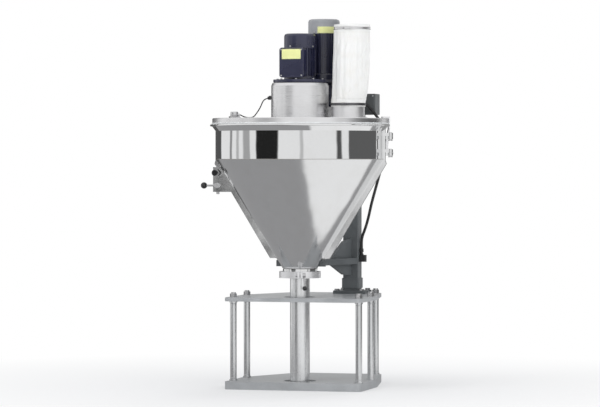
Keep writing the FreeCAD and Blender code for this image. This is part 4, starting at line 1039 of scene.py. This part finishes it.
@dataclass
class Sleeve(SubAssembly):
    """Woven sleeve from the inlet collar to the feeder's spout, held by two band clamps."""

    low: Vector = Vector((0.192, 0.0, 1.085))
    high: Vector = Vector((0.207, 0.0, 1.400))
    low_radius: float = 0.0655
    high_radius: float = 0.0690
    bulge: float = 0.0065
    lean_out: float = 0.0050
    slack: float = 0.055
    drop: float = 0.045
    twist: float = 13.0
    frames: int = 46
    columns: int = 112
    rows: int = 72
    thickness: float = 0.0011
    strap_heights: tuple[float, float] = (1.094, 1.385)
    hems: tuple[float, float] = (1.1015, 1.3780)
    collar_rim: float = 1.110
    move_cap: float = 0.012
    free_from: float = 1.104        # height where the cloth starts to be free to move
    mean_radius: float = 0.072
    gather_depth: float = 0.0016
    hem_rows: int = 7
    stitch_pitch: float = 0.0038
    band_half: float = 0.0050       # half the width of a band clamp
    # angle and height where a crease starts and ends, its depth and its half width
    creases: tuple[tuple[float, float, float, float, float, float], ...] = (
        (-20.0, 1.352, -56.0, 1.262, 0.0050, 0.0060), (-4.0, 1.345, -26.0, 1.200, 0.0045, 0.0080),
        (-30.0, 1.365, -44.0, 1.318, 0.0030, 0.0045), (-8.0, 1.215, -30.0, 1.128, 0.0040, 0.0065),
        (-96.0, 1.362, -118.0, 1.285, 0.0026, 0.0060), (-132.0, 1.330, -150.0, 1.215, 0.0040, 0.0080),
        (-112.0, 1.180, -98.0, 1.120, 0.0024, 0.0060), (22.0, 1.340, 2.0, 1.235, 0.0040, 0.0070),
        (48.0, 1.350, 30.0, 1.180, 0.0045, 0.0080), (80.0, 1.355, 62.0, 1.250, 0.0040, 0.0070),
        (104.0, 1.300, 88.0, 1.150, 0.0045, 0.0085), (140.0, 1.350, 118.0, 1.240, 0.0040, 0.0070),
        (170.0, 1.330, 152.0, 1.160, 0.0045, 0.0080), (-70.0, 1.170, -84.0, 1.118, 0.0020, 0.0060))

    def centre(self, share: float) -> Vector:
        """Middle of the sleeve at a share of its height; it runs straight up to the collar's rim first."""
        z = self.low.z + (self.high.z - self.low.z) * share
        lean = max(0.0, (z - self.collar_rim) / (self.high.z - self.collar_rim))
        return Vector((self.low.x + (self.high.x - self.low.x) * lean, 0.0, z))

    def angle(self, column: int) -> float:
        """Direction of a column of the cloth, in degrees; the first is in front."""
        return 360.0 * column / self.columns - 90.0

    def radius(self, share: float) -> float:
        """Radius of the held shape at a share of the height."""
        return self.low_radius + (self.high_radius - self.low_radius) * share

    def fullness(self, share: float) -> float:
        """How far a height is from the straps, 0 in the hems and 1 in the middle."""
        t = unit((share - 0.055) / 0.87)
        return math.sin(math.pi * t)

    def point(self, column: int, row: int, loose: float = 0.0, turn: float = 0.0) -> Vector:
        """Point of the sleeve's grid.

        Args:
            column: step round the sleeve.
            row: step up it.
            loose: share by which the full part is wider.
            turn: how far the row is turned, in degrees.

        Returns:
            The point, with the sleeve's belly on its free side.
        """
        share = row / self.rows
        full = self.fullness(share)
        angle = self.angle(column) + turn
        centre = self.centre(share) + Vector((self.lean_out * full, 0.0, 0.0))
        radius = (self.radius(share) + self.bulge * full) * (1.0 + loose * math.sqrt(full))
        return polar(radius, angle, centre.z, centre)

    def grid(self) -> Mesh:
        """Open tube with a UV map in metres."""
        bm = bmesh.new()
        verts = [[bm.verts.new(self.point(c, r, 0.0, self.twist * self.ease(r / self.rows)))
                  for c in range(self.columns)] for r in range(self.rows + 1)]
        layer = bm.loops.layers.uv.new("cloth")
        width, length = self.flat_size()
        for r in range(self.rows):
            for c in range(self.columns):
                face = bm.faces.new((verts[r][c], verts[r][(c + 1) % self.columns],
                                     verts[r + 1][(c + 1) % self.columns], verts[r + 1][c]))
                for loop, (i, j) in zip(face.loops, ((c, r), (c + 1, r), (c + 1, r + 1), (c, r + 1))):
                    loop[layer].uv = (width * i / self.columns, length * j / self.rows)
        mesh = bpy.data.meshes.new("inlet_cloth")
        bm.to_mesh(mesh)
        bm.free()
        return mesh

    def ease(self, share: float) -> float:
        """Share of the twist at a height, none in the held hems."""
        t = unit((share - 0.1) / 0.84)
        return t * t * (3.0 - 2.0 * t)

    def flat_size(self) -> tuple[float, float]:
        """Cut size: round the tube, and along it."""
        around = FULL_TURN * ((self.low_radius + self.high_radius) / 2.0 + self.bulge) * (1.0 + self.slack)
        return round(around, 3), round((self.high.z - self.low.z) * (1.0 + self.drop), 3)

    def held(self, z: float) -> bool:
        """Whether a height is in a hem that a strap holds."""
        return z < self.hems[0] or z > self.hems[1]

    def hang(self, piece: Object) -> None:
        """Let the cloth settle between its straps.

        Args:
            piece: the sleeve; its points are moved in place.
        """
        mesh = piece.data
        start = [v.co.copy() for v in mesh.vertices]
        piece.shape_key_add(name="held")
        cut = piece.shape_key_add(name="cut")
        for i, entry in enumerate(cut.data):
            row, column = divmod(i, self.columns)
            entry.co = self.point(column, row, self.slack) + UP * ((start[i].z - 1.24) * self.drop)
        pins = piece.vertex_groups.new(name="held")
        pins.add([i for i, co in enumerate(start) if self.held(co.z)], 1.0, "REPLACE")
        cloth = piece.modifiers.new("cloth", "CLOTH")
        settings = cloth.settings
        settings.quality = 7
        settings.mass = 0.25
        settings.tension_stiffness = settings.compression_stiffness = 40.0
        settings.shear_stiffness = 12.0
        settings.bending_stiffness = 0.12
        settings.vertex_group_mass = "held"
        settings.rest_shape_key = cut
        settings.use_dynamic_mesh = False
        cloth.collision_settings.use_collision = False
        cloth.point_cache.frame_start, cloth.point_cache.frame_end = 1, self.frames
        scene = bpy.context.scene
        for number in range(1, self.frames + 1):
            scene.frame_set(number)
        depsgraph = bpy.context.evaluated_depsgraph_get()
        settled = piece.evaluated_get(depsgraph).to_mesh()
        after = [v.co.copy() for v in settled.vertices]
        piece.evaluated_get(depsgraph).to_mesh_clear()
        piece.modifiers.remove(cloth)
        piece.shape_key_clear()
        piece.vertex_groups.clear()
        for v, old, new in zip(mesh.vertices, start, after):
            move = new - old
            limit = self.move_cap * unit((old.z - self.free_from) / 0.03)
            if move.length > limit:
                move *= limit / move.length
            v.co = old + move
        scene.frame_set(1)

    def pleat(self, mesh: Mesh) -> None:
        """Press in the creases that run off the straps, and the small pleats that they gather.

        Args:
            mesh: the settled cloth.
        """
        for i, v in enumerate(mesh.vertices):
            row, column = divmod(i, self.columns)
            full = self.fullness(row / self.rows)
            if full <= 0.0:
                continue
            angle = self.angle(column)
            centre = self.centre(row / self.rows)
            away = v.co - centre
            away.z = 0.0
            depth = 0.0
            for start, high, end, low, deep, wide in self.creases:
                across, z = math.radians((angle - start + 180.0) % 360.0 - 180.0) * self.mean_radius, v.co.z
                run = Vector((math.radians(end - start) * self.mean_radius, low - high))
                spot = Vector((across, z - high))
                t = spot.dot(run) / run.length_squared
                if -0.15 < t < 1.15:
                    d = (spot - run * t).length / wide
                    fade = math.sin(math.pi * unit((t + 0.15) / 1.3)) ** 0.7
                    depth += deep * fade * (1.0 - 1.3 * d * d) * math.exp(-d * d)
            for strap, wave in zip(self.strap_heights, (19.0, 23.0)):
                near = math.exp(-abs(v.co.z - strap) / 0.022)
                turn = math.radians(angle)
                gather = math.sin(wave * turn + 2.0 * math.sin(3.0 * turn))
                depth += self.gather_depth * near * gather * min(full * 4.0, 1.0)
            v.co -= away.normalized() * depth

    def crease(self, mesh: Mesh) -> None:
        """Folds from a formula in place of the simulation; nothing calls it."""
        for i, v in enumerate(mesh.vertices):
            share = (i // self.columns) / self.rows
            angle = FULL_TURN * (i % self.columns) / self.columns
            free = 0.0 if self.held(v.co.z) else math.sin(math.pi * share)
            centre = self.centre(share)
            off = v.co - centre
            wave = 0.03 * math.sin(5.0 * angle + 7.0 * share) + 0.015 * math.sin(11.0 * angle - 5.0 * share)
            v.co = centre + off * (1.0 + free * wave)

    def build(self) -> None:
        """Cloth, seam, stitches and straps."""
        mesh = self.grid()
        piece = self.keep(mesh, "inlet_cloth", CLOTH, "cloth", replaces=["inlet_sleeve"])
        self.hang(piece)
        self.pleat(mesh)
        mesh.polygons.foreach_set("use_smooth", [True] * len(mesh.polygons))
        stitches = self.stitches(mesh)
        wall = piece.modifiers.new("wall", "SOLIDIFY")
        wall.thickness = self.thickness
        wall.offset = 0.0
        soft = piece.modifiers.new("soft", "SUBSURF")
        soft.levels = soft.render_levels = 1
        straps = self.straps()

    def stitches(self, mesh: Mesh) -> Object:
        """Two rows of stitches down the seam and one round each hem."""
        dash = template(loft([[Vector((x, y, z)) for y, z in ((-w, 0.0), (0.0, -w), (w, 0.0), (0.0, w))]
                              for x, w in ((-0.0014, 0.0001), (-0.0009, 0.00035), (0.0009, 0.00035),
                                           (0.0014, 0.0001))], "stitch"))
        made = []
        points = [v.co.copy() for v in mesh.vertices]
        out = self.thickness * 0.75

        def lifted(index: int) -> Vector:
            """Point of the cloth moved out to its outer face."""
            centre = self.centre((index // self.columns) / self.rows)
            away = points[index] - centre
            away.z = 0.0
            return points[index] + away.normalized() * out

        seam = self.columns * 5 // 8
        runs = [([lifted(r * self.columns + column) for r in range(self.rows + 1)], False, 0.5)
                for column in (seam, seam + 2)]
        runs += [([lifted(row * self.columns + c) for c in range(self.columns)], True, row / self.rows)
                 for row in (self.hem_rows, self.rows - self.hem_rows)]
        for run, closed, share in runs:
            made.append(self.patterns.dash.run(path_object(run, closed), THREAD, Dash=dash,
                                               Pitch=self.stitch_pitch, Centre=tuple(self.centre(share))))
        discard(dash)
        return self.keep_all(made, "sleeve_stitches", THREAD, "cloth")

    def straps(self) -> list[Object]:
        """Worm-drive band clamps: rolled band, cut slots' ridges, screw housing and screw."""
        pieces = []
        # The lower clamp is given a dark steel colour and the upper one a bright steel colour.
        for z, label, finish in zip(self.strap_heights, ("lower", "upper"), (STRAP, BRIGHT_STRAP)):
            made = []
            share = (z - self.low.z) / (self.high.z - self.low.z)
            centre = self.centre(share)
            inner = self.radius(share) + 0.0010
            half = self.band_half
            section = ((0.0, -half), (0.0011, -half), (0.0017, -0.0043), (0.0012, -0.0036), (0.0012, 0.0036),
                       (0.0017, 0.0043), (0.0011, half), (0.0, half))
            rings = [[p + Vector((centre.x, centre.y, 0.0)) for p in circle(inner + dr, z + dz, 96)]
                     for dr, dz in section]
            made.append(loft(rings, "band", closed=True))
            ridge = template(loft([[Vector((x, y, h)) for x, y in ((-w, -0.0028), (w, -0.0022), (w, 0.0028),
                                                                   (-w, 0.0022))]
                                   for w, h in ((0.0005, 0.0), (0.0003, 0.0005))], "ridge"))
            run = arc(inner + 0.0012, z, -60.0, 30.0, 60, Vector((centre.x, centre.y, 0.0)))
            made.append(self.patterns.dash.run(path_object(run), finish, Dash=ridge, Pitch=0.0024,
                                               Centre=(centre.x, centre.y, z)))
            discard(ridge)
            made.append(self.housing(centre, inner, z))
            name = f"{label}_band_clamp"
            pieces.append(self.keep_all(made, name, finish, "strap_steel", replaces=["sleeve_straps"]))
        return pieces

    def housing(self, centre: Vector, inner: float, z: float) -> Mesh:
        """Screw housing with the worm's hexagon head at its side."""
        y = centre.y - inner - 0.0052
        barrel = []
        for x, r in ((-0.010, 0.0030), (-0.0095, 0.0040), (0.0095, 0.0040), (0.010, 0.0030)):
            barrel.append([Vector((centre.x + x, y + p.x, z + p.y)) for p in circle(r, 0.0, 24)])
        head = []
        for x, r in ((0.0098, 0.0030), (0.0105, 0.0034), (0.0150, 0.0034), (0.0156, 0.0029)):
            head.append([Vector((centre.x + x, y + p.x, z + p.y)) for p in circle(r, 0.0, 24, 6)])
        saddle = []
        for x, h in ((-0.0115, 0.0046), (-0.0105, 0.0052), (0.0105, 0.0052), (0.0115, 0.0046)):
            saddle.append([Vector((centre.x + x, y + dy, z + dz)) for dy, dz in
                           ((0.0056, -h), (0.0056, h), (0.0012, h), (0.0012, -h))])
        return joined([loft(barrel, "barrel"), loft(head, "head"), loft(saddle, "saddle")], "housing")


@dataclass
class Instruments(SubAssembly):
    """Level probe and junction box."""

    probe: Vector = Vector((-0.24438, -0.06548, 0.0))
    box_low: Vector = Vector((0.175, 0.248, 1.058))
    box_high: Vector = Vector((0.237, 0.330, 1.140))
    screw_inset: float = 0.009

    def build(self) -> None:
        """Probe thread and box screws."""
        base = Vector((self.probe.x, self.probe.y, LID_TOP + 0.0085))
        self.keep(self.thread(base, 0.0148, 0.0012, 0.0065), "probe_thread", SENSOR_STEEL, "sensor_steel")
        lo, hi = self.box_low, self.box_high
        inset = self.screw_inset
        spots = [(Vector((x, lo.y, z)), Vector((0, -1, 0))) for x in (lo.x + inset, hi.x - inset)
                 for z in (lo.z + inset, hi.z - inset)]
        self.fasteners(spots, fastener(HeadForm.SOCKET, 0.003, 0.002), "junction_box_screws")


@dataclass
class Column(SubAssembly):
    """Lift sleeve and the arm on the lid."""

    arm_half: float = 0.061
    sleeve_half: float = 0.031
    weld_length: float = 0.080

    def build(self) -> None:
        """Fillet welds along the arm."""
        z = LID_TOP + 0.0125
        face = COLUMN.y - self.sleeve_half
        made = []
        for x in (COLUMN.x - self.arm_half + 0.008, COLUMN.x - 0.004, COLUMN.x + 0.004,
                  COLUMN.x + self.arm_half - 0.008):
            points = [Vector((x, face - 0.014 - self.weld_length * i / 19, z)) for i in range(20)]
            made.append(self.patterns.bead.run(path_object(points), COLUMN_PAINT, Radius=0.0016,
                                               Ripple=0.003))
        self.keep_all(made, "arm_rib_welds", COLUMN_PAINT, "column_paint")


# ---------------------------------------------------------------- studio
@dataclass
class Studio:
    """Floor, backdrop light, lamps and camera."""

    azimuth: float = 15.0
    distance: float = 12.0
    eye_height: float = 0.884
    frame_width: float = 2.312
    centre_height: float = 0.713
    sensor: float = 36.0
    floor_half: float = 2.6
    fade: tuple[float, float] = (0.5, 2.2)
    bright: float = 0.96            # level of the studio between its flags
    low_flags: tuple[tuple[float, float, float], ...] = (
        (-111.0, -106.0, 0.30), (-97.0, -92.0, 0.55), (-84.0, -72.0, 0.45), (-62.0, -30.0, 0.02),
        (0.0, 4.0, 0.6), (51.0, 58.5, 0.10))
    tall_flags: tuple[tuple[float, float, float], ...] = (
        (-179.0, -136.0, 0.10), (70.0, 128.0, 0.13), (131.0, 135.0, 0.05), (150.0, 179.0, 0.35))
    low_edge: tuple[float, float] = (0.05, 0.10)    # where the flags end, as a share of straight up
    tall_edge: tuple[float, float] = (0.35, 0.6)
    aim: Colour = (0.0, 0.0, 0.8)
    lamps: tuple[tuple[str, tuple[float, float, float], float, float], ...] = (
        ("key", (-2.6, -3.2, 3.4), 2.4, 62.0),
        ("fill", (3.4, -2.6, 2.2), 2.2, 34.0),
        ("rear", (0.6, 3.6, 3.2), 2.4, 44.0),
        ("low_right", (2.0, -2.2, 0.25), 0.9, 14.0),
    )

    def build(self) -> None:
        """Set the whole studio."""
        self.floor()
        self.world()
        self.lights()
        self.camera()
        bpy.context.scene.view_settings.view_transform = "Standard"

    def mirror_ray(self, graph: Graph, path: Node) -> Socket:
        """1 for a ray off polished metal, 0 for the rest."""
        return graph.math("MAXIMUM", path.outputs["Is Glossy Ray"], path.outputs["Is Transmission Ray"])

    def card(self, graph: Graph, place) -> Socket:
        """Grey card on the floor that only polished metal shows, with a light wedge to the right."""
        a = math.radians(self.azimuth)
        right, front = (math.cos(a), math.sin(a), 0.0), (math.sin(a), -math.cos(a), 0.0)
        s = graph.add("ShaderNodeVectorMath", {0: place, 1: right}, operation="DOT_PRODUCT").outputs["Value"]
        c = graph.add("ShaderNodeVectorMath", {0: place, 1: front}, operation="DOT_PRODUCT").outputs["Value"]
        edge = graph.plus(graph.times(s, 0.79), graph.times(c, 0.62))
        near = graph.span(edge, 0.50, 0.54, 0.0, 1.0)
        side = graph.span(graph.plus(c, graph.times(s, 0.65)), 0.0, 0.06, 0.0, 1.0)
        return graph.mix(graph.times(near, side), (0.36, 0.36, 0.365), WHITE)

    def floor(self) -> None:
        """Pale level floor that keeps the shadow and runs out into white."""
        half = self.floor_half
        mesh = bpy.data.meshes.new("floor")
        corners = [(-half, -half, 0), (half, -half, 0), (half, half, 0), (-half, half, 0)]
        mesh.from_pydata(corners, [], [(0, 1, 2, 3)])
        made = linked("floor", mesh)
        material = bpy.data.materials.new("pale_floor")
        graph = empty_graph(material)
        matt = graph.add("ShaderNodeBsdfDiffuse", {"Color": (0.9, 0.9, 0.9, 1.0)})
        place = graph.add("ShaderNodeTexCoord").outputs["Object"]
        away = graph.add("ShaderNodeVectorMath", {0: place}, operation="LENGTH").outputs["Value"]
        path = graph.add("ShaderNodeLightPath")
        mirror = self.mirror_ray(graph, path)
        shine = graph.mix(mirror, WHITE, self.card(graph, place))
        glow = graph.add("ShaderNodeEmission", {"Color": shine, "Strength": 1.0})
        seen = graph.times(graph.span(away, *self.fade, 0.3, 1.0), path.outputs["Is Camera Ray"])
        share = graph.math("MAXIMUM", seen, mirror)
        both = graph.add("ShaderNodeMixShader", {0: share, 1: matt, 2: glow})
        graph.add("ShaderNodeOutputMaterial", {"Surface": both})
        mesh.materials.append(material)

    def world(self) -> None:
        """White to the camera, a soft studio with dark flags to polished metal, plain to the rest."""
        world = bpy.data.worlds.new("studio")
        bpy.context.scene.world = world
        graph = empty_graph(world)
        path = graph.add("ShaderNodeLightPath")
        way = graph.split(graph.add("ShaderNodeTexCoord").outputs["Generated"])
        angle = graph.math("ARCTAN2", way.outputs[1], way.outputs[0])
        share = graph.plus(graph.math("DIVIDE", angle, FULL_TURN), 0.5)
        level = graph.math("ABSOLUTE", way.outputs[2])
        bands = []
        for flags, (start, end) in ((self.low_flags, self.low_edge), (self.tall_flags, self.tall_edge)):
            over = graph.span(level, start, end, 0.0, 1.0)
            bands.append(graph.blend(over, self.flags(graph, share, flags), self.bright))
        shiny = graph.math("MINIMUM", *bands)
        mirror = self.mirror_ray(graph, path)
        colour = graph.mix(mirror, (0.62, 0.63, 0.65), shiny)
        colour = graph.mix(path.outputs["Is Camera Ray"], colour, WHITE)
        glow = graph.add("ShaderNodeBackground", {"Color": colour, "Strength": 1.0})
        graph.add("ShaderNodeOutputWorld", {"Surface": glow})

    def flags(self, graph: Graph, share, flags: Sequence[tuple[float, float, float]]) -> Socket:
        """Level of light round the horizon.

        Args:
            graph: the world's graph.
            share: share of a turn from -X.
            flags: start, end and level of each dark flag, in degrees from the camera's own direction.

        Returns:
            The level, bright but for the flags.
        """
        facing = self.azimuth - 90.0
        marks = []
        for low, high, level in flags:
            a, b = ((x + facing + 180.0) % 360.0 / 360.0 for x in (low, high))
            marks += [(a, b, level)] if a < b else [(a, 0.999, level), (0.001, b, level)]
        ramp = graph.add("ShaderNodeValToRGB", {0: share})
        band = ramp.color_ramp
        for end in (0, 1):
            band.elements[end].color = (self.bright, self.bright, self.bright, 1.0)
        soft = 0.0022
        for a, b, level in sorted(marks):
            for place, value in ((a - soft, self.bright), (a + soft, level), (b - soft, level),
                                 (b + soft, self.bright)):
                band.elements.new(unit(place)).color = (value, value, value, 1.0)
        return ramp.outputs[0]

    def lights(self) -> None:
        """Large soft lamps aimed at the hopper."""
        for name, place, size, power in self.lamps:
            lamp = bpy.data.lights.new(name, "AREA")
            lamp.size = size
            lamp.energy = power
            made = linked(name, lamp)
            made.visible_glossy = False
            made.location = place
            way = Vector(self.aim) - Vector(place)
            made.rotation_euler = way.to_track_quat("-Z", "Y").to_euler()

    def camera(self) -> None:
        """Level camera in front, a little to the right."""
        a = math.radians(self.azimuth)
        lens = bpy.data.cameras.new("camera")
        lens.sensor_width = self.sensor
        lens.lens = self.sensor * self.distance / self.frame_width
        lens.shift_y = (self.centre_height - self.eye_height) / self.frame_width
        lens.clip_end = 200.0
        made = linked("camera", lens)
        made.location = (self.distance * math.sin(a), -self.distance * math.cos(a), self.eye_height)
        made.rotation_euler = (math.radians(90.0), 0.0, a)
        bpy.context.scene.camera = made


def dress_nodes() -> None:
    """Give every carried-over node the finish of its slot."""
    for name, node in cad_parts.items():
        for entry in node.material_slots:
            key = entry.material.name.split(".")[0] if entry.material else ""
            finish = NODE_FINISH.get(name, SLOT_FINISH.get(key))
            if finish is None:
                LOG.warning("%s has no finish for slot %s", name, key)
                continue
            entry.material = finish.material()
        LOG.info("%s dressed", name)


def main() -> None:
    """Build every sub-assembly, then the studio."""
    logging.basicConfig(level=logging.INFO, format="%(name)s: %(message)s")
    dress_nodes()
    patterns = Patterns()
    for made in (Stand(patterns), Column(patterns), Hopper(patterns), Drive(patterns), Sleeve(patterns),
                 Instruments(patterns)):
        made.build()
    Studio().build()


if __name__ == "__main__":
    main()
